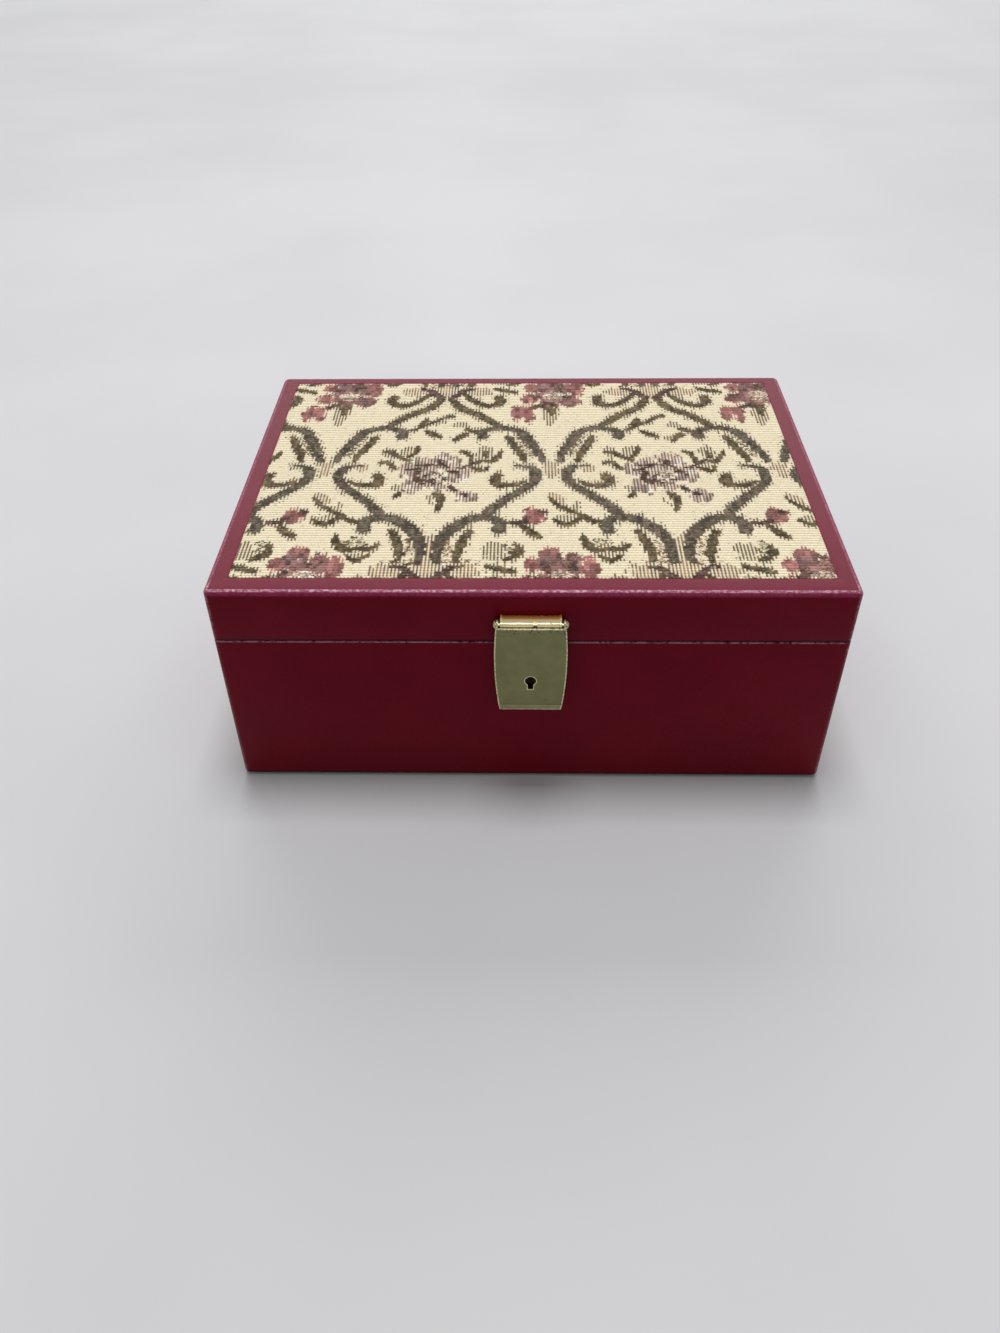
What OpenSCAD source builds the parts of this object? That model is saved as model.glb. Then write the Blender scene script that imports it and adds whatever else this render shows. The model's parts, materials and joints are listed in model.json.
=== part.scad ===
// Attachment box: a wooden case covered in burgundy leatherette, with a hinged lid,
// a woven tapestry panel in the lid's top, a brass-plated hasp lock and a lift-out tray.
// Millimetres. The origin is the centre of the underside, X runs to the right,
// -Y is the front with the lock, and Z is up.

/* [Case] */
// Width of the case over its covering
box_w = 230; // [190:1:300]
// Depth of the case over its covering, front to back
box_d = 169; // [140:1:220]
// Height of the body's covering, from its underside to the seam
body_h = 68.3; // [64:0.1:90]
// Height of the lid, from the seam to the leatherette on top
lid_h = 22.1; // [21:0.1:30]
// Gap of the seam between the body and the lid
seam_gap = 0.4; // [0.3:0.1:1]
// Thickness of the body's boards
board_t = 5; // [4.5:0.5:7]
// Thickness of the board in the lid's top
top_board_t = 3; // [2:0.5:4]
// Thickness of the board in the bottom
bottom_board_t = 4; // [3:0.5:6]
// Thickness of the leatherette
cover_t = 0.8; // [0.5:0.1:1]
// Radius of the upright corners
corner_r = 2.5; // [1.5:0.1:4]
// Radius of the lid's top edges
top_edge_r = 1.8; // [1.2:0.1:3]
// Thickness of the pad under the case
foot_t = 1; // [0.8:0.1:2]
// Inset of the pad from the sides of the case
foot_inset = 3; // [2:0.5:8]

/* [Tapestry panel] */
// Leatherette border left and right of the tapestry
border_side = 7; // [5:0.5:14]
// Leatherette border in front of the tapestry
border_front = 8.2; // [5:0.1:14]
// Leatherette border behind the tapestry
border_back = 6; // [5:0.5:14]
// Thickness of the woven tapestry
tapestry_t = 1; // [0.8:0.1:1.5]
// Thickness of the wadding under the tapestry
wadding_t = 0.8; // [0.5:0.1:1.5]
// Corner radius of the tapestry panel
panel_r = 3; // [1:0.5:6]

/* [Lining] */
// Thickness of the velvet-covered lining cards
liner_t = 1.5; // [1:0.1:2]
// Height of the lip that the cards raise above the seam
lip_h = 4; // [2:0.5:6]
// Gap between that lip and the rims of the lid
lip_gap = 0.5; // [0.4:0.1:1]
// Thickness of the velvet pad on the floor
floor_pad_t = 2; // [1:0.5:3]
// Thickness of the puffed satin pad inside the lid
lid_pad_t = 5; // [3:0.5:6]
// Gap round the satin pad
lid_pad_gap = 1; // [0.5:0.5:3]

/* [Tray] */
// Height of the lift-out tray
tray_h = 20; // [16:1:24]
// Drop from the seam to the tray's top edge
tray_drop = 2; // [1:0.5:4]
// Gap between the tray and the lining
tray_gap = 0.7; // [0.4:0.1:1.5]
// Thickness of the tray's walls
tray_wall_t = 2; // [1.5:0.5:3]
// Thickness of the tray's base
tray_base_t = 1.5; // [1:0.5:3]
// Thickness of the tray's dividers
divider_t = 1.5; // [1:0.5:2]
// Drop from the tray's top edge to the dividers
divider_drop = 2; // [1:0.5:4]
// Depth of the front row of compartments
front_row_d = 48; // [40:1:60]
// Number of compartments in the front row
front_row_count = 4; // [3:1:5]
// Number of compartments in the back row
back_row_count = 3; // [2:1:4]
// Thickness of the velvet in each compartment
tray_pad_t = 1; // [0.5:0.5:2]
// Radius of the finger notches in the end walls
notch_r = 11; // [9:0.5:13]
// Width of the ledges that carry the tray
ledge_w = 5; // [4:0.5:8]
// Height of the ledges
ledge_h = 6; // [5:0.5:8]

/* [Hinges] */
// Distance between the middles of the two hinges
hinge_spacing = 130; // [100:1:160]
// Width of a hinge
hinge_w = 32; // [30:1:40]
// Height of one leaf, from the pin
leaf_h = 13; // [12:0.5:14]
// Thickness of the leaves
leaf_t = 0.9; // [0.8:0.1:1.1]
// Outer radius of the knuckles
knuckle_r = 2; // [1.8:0.1:2.2]
// Radius of the hinge pins
hinge_pin_r = 1; // [0.8:0.1:1.2]
// Gap between neighbouring knuckles
knuckle_gap = 0.3; // [0.2:0.1:0.5]
// Length of the stop tail on the lid's knuckle, from the pin
stop_len = 4.2; // [3.8:0.1:4.4]
// Radius of a nail's shank
nail_r = 0.6; // [0.5:0.1:0.7]
// Radius of a nail's domed head
nail_head_r = 1.5; // [1.3:0.1:1.7]
// Depth that a nail goes into the board
nail_depth = 3.2; // [2.5:0.1:3.4]

/* [Hasp lock] */
// Length of the hasp, top edge to bottom edge
hasp_len = 38.5; // [38:0.5:42]
// Greatest width of the hasp
hasp_w = 26.2; // [26:0.1:30]
// Drop from the hasp's top edge to where it is widest
hasp_waist = 14.5; // [12:0.5:18]
// Radius of the long curve of the hasp's sides
hasp_side_r = 170; // [150:5:300]
// Distance that the hasp stands out from the front
hasp_depth = 6; // [6:0.1:7]
// Thickness of the hasp's plate
hasp_t = 0.7; // [0.6:0.1:0.8]
// Gap behind the hasp's flanges
hasp_gap = 0.4; // [0.3:0.1:0.6]
// Height of the bevel at the hasp's foot
hasp_bevel_h = 3; // [2:0.5:4]
// Depth of the bevel at the hasp's foot
hasp_bevel_d = 0.7; // [0.4:0.1:0.8]
// Height of the hasp's pin above the seam
pin_rise = 11.3; // [11:0.1:12.5]
// Distance of the hasp's pin from the front
pin_out = 4.2; // [4:0.1:4.3]
// Radius of the hasp's pin
pin_r = 0.55; // [0.5:0.01:0.6]
// Radius of the pin's peened heads
pin_head_r = 1.5; // [1.2:0.1:1.6]
// Thickness of the pin's heads
pin_head_t = 0.7; // [0.5:0.1:1]
// Radius of the ears round the pin
ear_r = 1.9; // [1.7:0.1:2.1]
// Outer radius of the bracket's rolled barrel
barrel_r = 1; // [0.9:0.05:1.05]
// Gap between the bracket's cheeks and the hasp's ears
cheek_gap = 0.6; // [0.4:0.1:1]
// Distance of the bracket's rivets from its sides
rivet_inset = 4.8; // [4:0.1:6]
// Gap between the lock case and the hasp's flanges, at the case's foot
case_gap = 0.3; // [0.2:0.1:0.6]
// Thickness of the bracket's sheet
bracket_t = 0.8; // [0.7:0.1:0.9]
// Radius of the round part of the keyhole
keyhole_r = 2.05; // [1.8:0.05:2.3]
// Width of the keyhole's slot
keyhole_slot_w = 2.1; // [1.8:0.1:2.4]
// Length of the keyhole's slot, from the middle of its round part
keyhole_slot_len = 4; // [3.5:0.1:5]
// Drop from the hasp's top edge to the keyhole
keyhole_drop = 23.9; // [23.5:0.1:25]
// Radius of the post that guides the key
key_post_r = 0.85; // [0.7:0.05:1]
// Travel of the lock bolt
bolt_travel = 4; // [3.5:0.1:4.2]
// Thickness of the lock bolt
bolt_t = 1.2; // [1:0.1:1.3]
// Thickness of the keeper plate and of its staple
keeper_t = 0.8; // [0.7:0.05:0.8]
// Thickness of the staple, side to side
staple_t = 1.2; // [1:0.1:1.3]
// Running clearance round every pin
pin_fit = 0.05; // [0.03:0.01:0.08]

/* [Hidden] */
$fn = 96;
burgundy = "#5a0a1c";
brass = "#a39a62";
velvet = "#6b1a2a";
wood = "#c9a878";
eps = 0.01;

// Levels and half sizes of the case
z_under = foot_t;
z_seam = z_under + body_h;
z_lid = z_seam + seam_gap;
z_top = z_seam + lid_h;
front_y = -box_d / 2;
back_y = box_d / 2;
core_w = box_w - 2 * cover_t;
core_d = box_d - 2 * cover_t;
core_r = corner_r - cover_t;
room_w = core_w - 2 * board_t;
room_d = core_d - 2 * board_t;
z_core = z_under + cover_t;
z_rim = z_seam - cover_t;
z_floor = z_core + bottom_board_t;
lid_room_w = room_w + 2 * lip_gap;
lid_room_d = room_d + 2 * lip_gap;
z_lid_core = z_lid + cover_t;
z_card = z_top - cover_t;
z_wadding = z_card - wadding_t;
z_board = z_wadding - top_board_t;
lid_core_h = z_card - z_lid_core;

// Tapestry window in the lid's leatherette
panel_w = box_w - 2 * border_side;
panel_d = box_d - border_front - border_back;
panel_y = (border_front - border_back) / 2;

// Lining and tray
lined_w = room_w - 2 * liner_t;
lined_d = room_d - 2 * liner_t;
tray_w = lined_w - 2 * tray_gap;
tray_d = lined_d - 2 * tray_gap;
z_tray_top = z_seam - tray_drop;
z_tray = z_tray_top - tray_h;
z_divider_top = z_tray_top - divider_drop;
cell_w = tray_w - 2 * tray_wall_t;
cell_d = tray_d - 2 * tray_wall_t;
row_split_y = -cell_d / 2 + front_row_d + divider_t / 2;
back_row_d = cell_d - front_row_d - divider_t;

// Hinge axis, just behind the back at the middle of the seam
hinge_gap = 0.1;
axis_y = back_y + knuckle_r + hinge_gap;
axis_z = z_seam + seam_gap / 2;
leaf_clear = 0.2;
knuckle_w = (hinge_w - 2 * knuckle_gap) / 3;
nail_spots = [[-hinge_w / 2 + 4, 9.5], [0, 6.8], [hinge_w / 2 - 4, 9.5]];

// Hasp lock, measured outwards from the front face
pin_z = z_seam + pin_rise;
pin_y = front_y - pin_out;
hasp_top = pin_z - 0.7;
hasp_foot = hasp_top - hasp_len;
flange_t = 0.8;
lip_d = 1.8;
side_z = hasp_top - hasp_waist;
keyhole_z = hasp_top - keyhole_drop;
ear_out = hasp_w / 2 - pow(pin_z - side_z, 2) / (2 * hasp_side_r);
ear_in = hasp_w / 2 - flange_t - pow(pin_z + ear_r - side_z, 2) / (2 * hasp_side_r);
bracket_w = 2 * (ear_in - cheek_gap);
barrel_half = bracket_w / 2 - bracket_t - 0.1;
post_head_t = 0.4;
case_out = keeper_t + post_head_t + 0.1;
case_t = 0.8;
case_foot = hasp_foot + 2.2;
case_head = z_seam - 0.8;
case_half = hasp_w / 2 - flange_t - pow(side_z - case_foot, 2) / (2 * hasp_side_r) - case_gap;
post_r = 1.1;
post_head_r = 1.2;
foot_post_x = case_half - 2.3;
head_post_x = case_half - 1.4;
case_spots = [
    [-foot_post_x, case_foot + 3.4],
    [foot_post_x, case_foot + 3.4],
    [-head_post_x, case_head - 2.4],
    [head_post_x, case_head - 2.4]
];
bolt_out = case_out + case_t + 0.2;
bolt_z = keyhole_z + 4.4;
bolt_h = 3;
staple_x = -6.2;
bolt_tip = staple_x + staple_t / 2 + 1.4;
bolt_end = 8.8;
staple_out = bolt_out + bolt_t + 1.2;
eye_clear = 0.3;
keeper_half = 7.4;
keeper_foot = bolt_z - 2.2;
keeper_head = bolt_z + bolt_h + 2.4;
guide_x = 3;
guide_r = 0.7;

// A rectangle round the origin with rounded corners
module soft_rectangle(w, d, r) {
    square([w - 2 * r, d], center = true);
    square([w, d - 2 * r], center = true);
    for (sx = [-1, 1], sy = [-1, 1])
        translate([sx * (w / 2 - r), sy * (d / 2 - r)])
            circle(r);
}

// A rectangle standing on the X axis, with its two top corners rounded
module arch_profile(w, h, r) {
    translate([-w / 2, 0])
        square([w, h - r]);
    translate([-w / 2 + r, 0])
        square([w - 2 * r, h]);
    for (s = [-1, 1])
        translate([s * (w / 2 - r), h - r])
            circle(r);
}

// A block between two corners
module block(low, high) {
    translate(low)
        cube(high - low);
}

// A cylinder along Y that starts at a depth outwards from the front and runs further out
module front_rod(x, out, z, r, len) {
    translate([x, front_y - out, z])
        rotate([90, 0, 0])
            cylinder(h = len, r = r);
}

// A cylinder along X round the hasp's pin
module pin_rod(x0, x1, r) {
    translate([x0, pin_y, pin_z])
        rotate([0, 90, 0])
            cylinder(h = x1 - x0, r = r);
}

// A cylinder along X round the axis of the lid's hinges
module hinge_rod(x0, x1, r) {
    translate([x0, axis_y, axis_z])
        rotate([0, 90, 0])
            cylinder(h = x1 - x0, r = r);
}

// A block with rounded uprights, and rounded edges round its top
module lid_block(w, d, h, r, top_r) {
    intersection() {
        linear_extrude(h)
            soft_rectangle(w, d, r);
        rotate([90, 0, 0])
            linear_extrude(d + 2, center = true)
                arch_profile(w, h, top_r);
        rotate([90, 0, 90])
            linear_extrude(w + 2, center = true)
                arch_profile(d, h, top_r);
    }
}

// The wooden block of the body, without its covering
module body_core() {
    translate([0, 0, z_core])
        linear_extrude(z_rim - z_core)
            soft_rectangle(core_w, core_d, core_r);
}

// The wooden block of the lid, without its covering
module lid_core() {
    translate([0, 0, z_lid_core])
        lid_block(core_w, core_d, lid_core_h, core_r, top_edge_r - cover_t);
}

// Places its children at every hinge nail, on the leaf of the body (-1) or of the lid (1)
module at_hinge_nails(side) {
    for (sx = [-1, 1], spot = nail_spots)
        translate([sx * hinge_spacing / 2 + spot[0], back_y + leaf_t, axis_z + side * spot[1]])
            rotate([-90, 0, 0])
                children();
}

// The pilot holes of those nails
module hinge_nail_holes(side) {
    at_hinge_nails(side)
        translate([0, 0, -leaf_t - cover_t - nail_depth - 0.2])
            cylinder(h = leaf_t + cover_t + nail_depth + 1, r = nail_r + pin_fit / 2, $fn = 32);
}

// A domed nail with its head on the plane z = 0
module domed_nail(depth) {
    translate([0, 0, -depth])
        cylinder(h = depth + 0.1, r = nail_r, $fn = 32);
    intersection() {
        translate([0, 0, -nail_head_r * 0.6])
            sphere(nail_head_r * 1.166, $fn = 48);
        cylinder(h = nail_head_r, r = nail_head_r * 1.1, $fn = 48);
    }
}

// The body's pieces

module foot_pad() {
    color("#2e2426")
        linear_extrude(foot_t)
            soft_rectangle(box_w - 2 * foot_inset, box_d - 2 * foot_inset, corner_r);
}

module bottom_board() {
    color(wood)
        block([-room_w / 2, -room_d / 2, z_core], [room_w / 2, room_d / 2, z_floor]);
}

// A full-width board at the front (-1) or the back (1)
module long_board(side) {
    intersection() {
        body_core();
        block([-box_w / 2, side * (box_d / 2 + room_d / 2) / 2 - (box_d - room_d) / 4, 0],
            [box_w / 2, side * (box_d / 2 + room_d / 2) / 2 + (box_d - room_d) / 4, z_seam]);
    }
}

module front_board() {
    color(wood)
        difference() {
            long_board(-1);
            keeper_nail_holes();
        }
}

module back_board() {
    color(wood)
        difference() {
            long_board(1);
            hinge_nail_holes(-1);
        }
}

// A board between the long ones, at the left (-1) or the right (1)
module end_board(side) {
    color(wood)
        translate([side * (core_w + room_w) / 4, 0, (z_core + z_rim) / 2])
            cube([board_t, room_d, z_rim - z_core], center = true);
}

module left_board() {
    end_board(-1);
}

module right_board() {
    end_board(1);
}

module body_leatherette() {
    color(burgundy)
        difference() {
            translate([0, 0, z_under])
                linear_extrude(body_h)
                    soft_rectangle(box_w, box_d, corner_r);
            body_core();
            block([-room_w / 2, -room_d / 2, z_core], [room_w / 2, room_d / 2, z_seam + 1]);
            hinge_nail_holes(-1);
            keeper_nail_holes();
        }
}

module floor_pad() {
    color(velvet)
        block([-lined_w / 2, -lined_d / 2, z_floor], [lined_w / 2, lined_d / 2, z_floor + floor_pad_t]);
}

module front_liner() {
    color(velvet)
        block([-room_w / 2, -room_d / 2, z_floor], [room_w / 2, -lined_d / 2, z_seam + lip_h]);
}

module back_liner() {
    color(velvet)
        block([-room_w / 2, lined_d / 2, z_floor], [room_w / 2, room_d / 2, z_rim]);
}

module end_liners() {
    color(velvet)
        for (side = [-1, 1])
            translate([side * (room_w + lined_w) / 4, 0, (z_floor + z_seam + lip_h) / 2])
                cube([liner_t, lined_d, z_seam + lip_h - z_floor], center = true);
}

// Quarter-round strips on the end liners that carry the tray
module tray_ledges() {
    color(velvet)
        for (side = [-1, 1])
            intersection() {
                translate([side * (lined_w / 2 - ledge_w / 2), 0, z_tray - ledge_h / 2])
                    cube([ledge_w, lined_d, ledge_h], center = true);
                translate([side * (lined_w / 2), 0, z_tray])
                    rotate([90, 0, 0])
                        cylinder(h = lined_d, r = ledge_h, center = true);
            }
}

// One leaf with its knuckles: the body's leaf hangs below the pin, the lid's stands above it
module hinge_leaf(side, knuckles) {
    plate_z = knuckle_r + leaf_clear;
    difference() {
        union() {
            block([-hinge_w / 2, back_y, min(side * plate_z, side * leaf_h) + axis_z],
                [hinge_w / 2, back_y + leaf_t, max(side * plate_z, side * leaf_h) + axis_z]);
            for (k = knuckles) {
                x0 = -hinge_w / 2 + k * (knuckle_w + knuckle_gap);
                block([x0, back_y, min(0, side * (plate_z + eps)) + axis_z],
                    [x0 + knuckle_w, back_y + leaf_t, max(0, side * (plate_z + eps)) + axis_z]);
                hinge_rod(x0, x0 + knuckle_w, knuckle_r);
            }
        }
        hinge_rod(-hinge_w, hinge_w, hinge_pin_r + pin_fit);
        for (spot = nail_spots)
            translate([spot[0], back_y - 1, axis_z + side * spot[1]])
                rotate([-90, 0, 0])
                    cylinder(h = leaf_t + 2, r = nail_r + pin_fit / 2, $fn = 32);
    }
}

module hinge_body_leaves() {
    color(brass)
        for (sx = [-1, 1])
            translate([sx * hinge_spacing / 2, 0, 0])
                hinge_leaf(-1, [0, 2]);
}

module hinge_pins() {
    color(brass)
        for (sx = [-1, 1])
            translate([sx * hinge_spacing / 2, 0, 0])
                hinge_rod(-hinge_w / 2 - 0.4, hinge_w / 2 + 0.4, hinge_pin_r);
}

module hinge_body_nails() {
    color(brass)
        at_hinge_nails(-1)
            domed_nail(leaf_t + cover_t + nail_depth);
}

// Places its children at the keeper plate's two nails, pointing into the board
module at_keeper_nails() {
    for (z = [keeper_foot + 2, keeper_head - 2])
        translate([keeper_half - 3, front_y - keeper_t, z])
            rotate([-90, 0, 0])
                children();
}

module keeper_nail_holes() {
    at_keeper_nails()
        cylinder(h = keeper_t + cover_t + nail_depth + 0.2, r = nail_r + pin_fit / 2, $fn = 32);
}

// A plate on the front with a staple that stands out of it; the bolt passes through its eye
module keeper_plate() {
    color(brass)
        difference() {
            union() {
                block([-keeper_half, front_y - keeper_t, keeper_foot], [keeper_half, front_y, keeper_head]);
                block([staple_x - staple_t / 2, front_y - staple_out, bolt_z - 1.2],
                    [staple_x + staple_t / 2, front_y - keeper_t / 2, bolt_z + bolt_h + 1.2]);
            }
            block([staple_x - staple_t, front_y - bolt_out - bolt_t - eye_clear, bolt_z - eye_clear],
                [staple_x + staple_t, front_y - bolt_out + eye_clear, bolt_z + bolt_h + eye_clear]);
            at_keeper_nails()
                translate([0, 0, -0.1])
                    cylinder(h = keeper_t + 0.2, r = nail_r + pin_fit / 2, $fn = 32);
            at_keeper_nails()
                cylinder(h = 0.6, r1 = 1.3 + pin_fit, r2 = nail_r, $fn = 48);
        }
}

// Countersunk nails, flush with the keeper plate
module keeper_nails() {
    color(brass)
        at_keeper_nails() {
            cylinder(h = 0.6, r1 = 1.3, r2 = nail_r, $fn = 48);
            cylinder(h = keeper_t + cover_t + nail_depth, r = nail_r, $fn = 32);
        }
}

// The lid's pieces

// A full-width rim of the lid at the front (-1) or the back (1)
module lid_long_rim(side) {
    intersection() {
        lid_core();
        block([-box_w / 2, side * (box_d + lid_room_d) / 4 - (box_d - lid_room_d) / 4, z_lid],
            [box_w / 2, side * (box_d + lid_room_d) / 4 + (box_d - lid_room_d) / 4, z_board]);
    }
}

module lid_front_rim() {
    color(wood)
        difference() {
            lid_long_rim(-1);
            bracket_rivet_holes();
        }
}

module lid_back_rim() {
    color(wood)
        difference() {
            lid_long_rim(1);
            hinge_nail_holes(1);
        }
}

// A rim between the long ones, at the left (-1) or the right (1)
module lid_end_rim(side) {
    color(wood)
        translate([side * (core_w + lid_room_w) / 4, 0, (z_lid_core + z_board) / 2])
            cube([(core_w - lid_room_w) / 2, lid_room_d, z_board - z_lid_core], center = true);
}

module lid_left_rim() {
    lid_end_rim(-1);
}

module lid_right_rim() {
    lid_end_rim(1);
}

module lid_top_board() {
    color(wood)
        intersection() {
            lid_core();
            block([-box_w / 2, -box_d / 2, z_board], [box_w / 2, box_d / 2, z_wadding]);
        }
}

// The window in the leatherette that shows the tapestry
module panel_window(shrink, low, high) {
    translate([0, panel_y, low])
        linear_extrude(high - low)
            soft_rectangle(panel_w - 2 * shrink, panel_d - 2 * shrink, panel_r - shrink);
}

module lid_leatherette() {
    color(burgundy)
        difference() {
            translate([0, 0, z_lid])
                lid_block(box_w, box_d, z_top - z_lid, corner_r, top_edge_r);
            lid_core();
            block([-lid_room_w / 2, -lid_room_d / 2, z_lid - 1], [lid_room_w / 2, lid_room_d / 2, z_board]);
            panel_window(0, z_card - 1, z_top + 1);
            hinge_nail_holes(1);
            bracket_rivet_holes();
        }
}

module tapestry_wadding() {
    color("#e9e2cf")
        intersection() {
            lid_core();
            block([-box_w / 2, -box_d / 2, z_wadding], [box_w / 2, box_d / 2, z_card]);
        }
}

module tapestry_panel() {
    color("#d9cfae")
        panel_window(0, z_card, z_card + tapestry_t);
}

// The puffed pad inside the lid: flat against the board, rounded where it faces the tray
module lid_satin_pad() {
    color("#b98a92")
        translate([0, 0, z_board])
            rotate([180, 0, 0])
                lid_block(lid_room_w - 2 * lid_pad_gap, lid_room_d - 2 * lid_pad_gap, lid_pad_t, 4, lid_pad_t * 0.7);
}

// The lid's knuckle carries a tail that meets the body's leaf and stops the open lid
module hinge_lid_leaves() {
    color(brass)
        for (sx = [-1, 1])
            translate([sx * hinge_spacing / 2, 0, 0]) {
                hinge_leaf(1, [1]);
                difference() {
                    block([-knuckle_w / 2, axis_y, axis_z - leaf_t / 2],
                        [knuckle_w / 2, axis_y + stop_len, axis_z + leaf_t / 2]);
                    hinge_rod(-knuckle_w, knuckle_w, (hinge_pin_r + knuckle_r) / 2);
                }
            }
}

module hinge_lid_nails() {
    color(brass)
        at_hinge_nails(1)
            domed_nail(leaf_t + cover_t + nail_depth);
}

// Places its children at the two rivets of the lid's bracket
module at_bracket_rivets() {
    for (sx = [-1, 1])
        translate([sx * (bracket_w / 2 - rivet_inset), front_y - bracket_t, (z_lid + pin_z) / 2])
            rotate([90, 0, 0])
                children();
}

module bracket_rivet_holes() {
    at_bracket_rivets()
        translate([0, 0, -bracket_t - cover_t - nail_depth - 0.2])
            cylinder(h = bracket_t + cover_t + nail_depth + 1, r = nail_r + pin_fit / 2, $fn = 32);
}

// A plate on the lid's front whose top turns outwards and rolls round the hasp's pin
module lid_bracket() {
    roof_top = pin_z + barrel_r;
    roof_low = pin_z + pin_r + pin_fit;
    color(brass)
        difference() {
            union() {
                block([-bracket_w / 2, front_y - bracket_t, z_lid + 1.6], [bracket_w / 2, front_y, roof_top]);
                block([-bracket_w / 2 + eps, pin_y, roof_low], [bracket_w / 2 - eps, front_y, roof_top]);
                pin_rod(-barrel_half, barrel_half, barrel_r);
                for (side = [-1, 1])
                    translate([side * (bracket_w - bracket_t) / 2, 0, 0])
                        bracket_cheek(roof_top);
            }
            pin_rod(-bracket_w, bracket_w, pin_r + pin_fit);
            block([0.8, pin_y - 2, pin_z - 2], [2.1, pin_y + 0.6, pin_z + 2]);
            at_bracket_rivets()
                translate([0, 0, -bracket_t - 0.1])
                    cylinder(h = bracket_t + 0.2, r = nail_r + pin_fit / 2, $fn = 32);
        }
}

// One side cheek of the bracket, round the pin at its front
module bracket_cheek(roof_top) {
    half = bracket_t / 2;
    block([-half, front_y - pin_out + barrel_r, pin_z - 2], [half, front_y, roof_top + 0.4]);
    block([-half, pin_y, pin_z - barrel_r], [half, front_y, roof_top]);
    pin_rod(-half, half, barrel_r);
}

module bracket_rivets() {
    color(brass)
        at_bracket_rivets() {
            translate([0, 0, -bracket_t - cover_t - nail_depth])
                cylinder(h = bracket_t + cover_t + nail_depth + 0.1, r = nail_r, $fn = 32);
            intersection() {
                translate([0, 0, -2.2])
                    sphere(2.7, $fn = 48);
                cylinder(h = 1, r = 2, $fn = 48);
            }
        }
}

// The hasp's pieces

// The barrel-shaped outline of the hasp, drawn in by an inset
module hasp_outline(inset) {
    intersection_for(s = [-1, 1])
        translate([s * (hasp_w / 2 - hasp_side_r), front_y - hasp_depth / 2, side_z])
            rotate([90, 0, 0])
                cylinder(h = 4 * hasp_depth, r = hasp_side_r - inset, center = true, $fn = 360);
}

// The hasp seen from its side, as a profile of depth outwards against height
module hasp_side_profile() {
    edge_r = 0.6;
    polygon([
        [hasp_gap, hasp_foot],
        [hasp_depth - hasp_bevel_d, hasp_foot],
        [hasp_depth, hasp_foot + hasp_bevel_h],
        [hasp_depth, hasp_top - edge_r],
        [hasp_depth - edge_r, hasp_top],
        [hasp_gap, hasp_top]
    ]);
    translate([hasp_depth - edge_r, hasp_top - edge_r])
        circle(edge_r);
    translate([pin_out, pin_z])
        circle(ear_r);
}

// A pressed pan: plate, side flanges, a short lip at the foot, and two ears round the pin
module hasp_plate() {
    inner = hasp_depth - hasp_t;
    color(brass)
        difference() {
            intersection() {
                hasp_outline(0);
                translate([hasp_w, front_y, 0])
                    rotate([90, 0, -90])
                        linear_extrude(2 * hasp_w)
                            hasp_side_profile();
            }
            intersection() {
                hasp_outline(flange_t);
                union() {
                    block([-hasp_w, front_y - inner, hasp_foot + flange_t], [hasp_w, front_y + 1, pin_z + 4]);
                    block([-hasp_w, front_y - inner + lip_d, hasp_foot - 1], [hasp_w, front_y + 1, hasp_foot + 2]);
                    block([-hasp_w, front_y - hasp_depth - 1, hasp_top], [hasp_w, front_y + 1, pin_z + 4]);
                }
            }
            pin_rod(-hasp_w, hasp_w, pin_r + pin_fit);
            front_rod(0, inner - 1, keyhole_z, keyhole_r, 3);
            block([-keyhole_slot_w / 2, front_y - hasp_depth - 1, keyhole_z - keyhole_slot_len],
                [keyhole_slot_w / 2, front_y - inner + 1, keyhole_z]);
        }
}

// The pin with a peened head outside each ear
module hasp_pin() {
    color(brass) {
        pin_rod(-ear_out - 0.5, ear_out + 0.5, pin_r);
        for (side = [-1, 1])
            translate([side * (ear_out + 0.2), pin_y, pin_z])
                rotate([0, side * 90, 0])
                    intersection() {
                        translate([0, 0, pin_head_t - pin_head_r * 1.3])
                            sphere(pin_head_r * 1.3, $fn = 48);
                        cylinder(h = pin_head_t, r = pin_head_r, $fn = 48);
                    }
    }
}

// The plate that closes the hasp's back, cut away for the staple from its foot upwards
module lock_case() {
    color(brass)
        difference() {
            block([-case_half, front_y - case_out - case_t, case_foot], [case_half, front_y - case_out, case_head]);
            block([staple_x - staple_t / 2 - 1.1, front_y - case_out - case_t - 1, case_foot - 1],
                [staple_x + staple_t / 2 + 1.1, front_y, bolt_z + bolt_h + 2.4]);
            for (spot = case_spots)
                front_rod(spot[0], case_out - 0.5, spot[1], guide_r + pin_fit, case_t + 1);
            front_rod(0, case_out - 0.5, keyhole_z, key_post_r * 0.7 + pin_fit, case_t + 1);
            front_rod(guide_x, case_out - 0.5, bolt_z + bolt_h / 2, guide_r * 0.7 + pin_fit, case_t + 1);
        }
}

// Posts from the hasp's plate to the case, each riveted over behind the case
module case_posts() {
    color(brass)
        for (spot = case_spots) {
            front_rod(spot[0], case_out + case_t, spot[1], post_r, hasp_depth - hasp_t - case_out - case_t);
            front_rod(spot[0], case_out - 0.1, spot[1], guide_r, case_t + 0.2);
            front_rod(spot[0], case_out - post_head_t, spot[1], post_head_r, post_head_t);
        }
}

module key_post() {
    color(brass) {
        front_rod(0, case_out + case_t, keyhole_z, key_post_r, hasp_depth - hasp_t - case_out - case_t - 0.3);
        front_rod(0, case_out, keyhole_z, key_post_r * 0.7, case_t + 0.1);
    }
}

// The stump that the bolt's slot slides along
module bolt_guide() {
    color(brass) {
        front_rod(guide_x, case_out + case_t, bolt_z + bolt_h / 2, guide_r, bolt_out + bolt_t - case_out - case_t + 0.4);
        front_rod(guide_x, case_out, bolt_z + bolt_h / 2, guide_r * 0.7, case_t + 0.1);
    }
}

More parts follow.
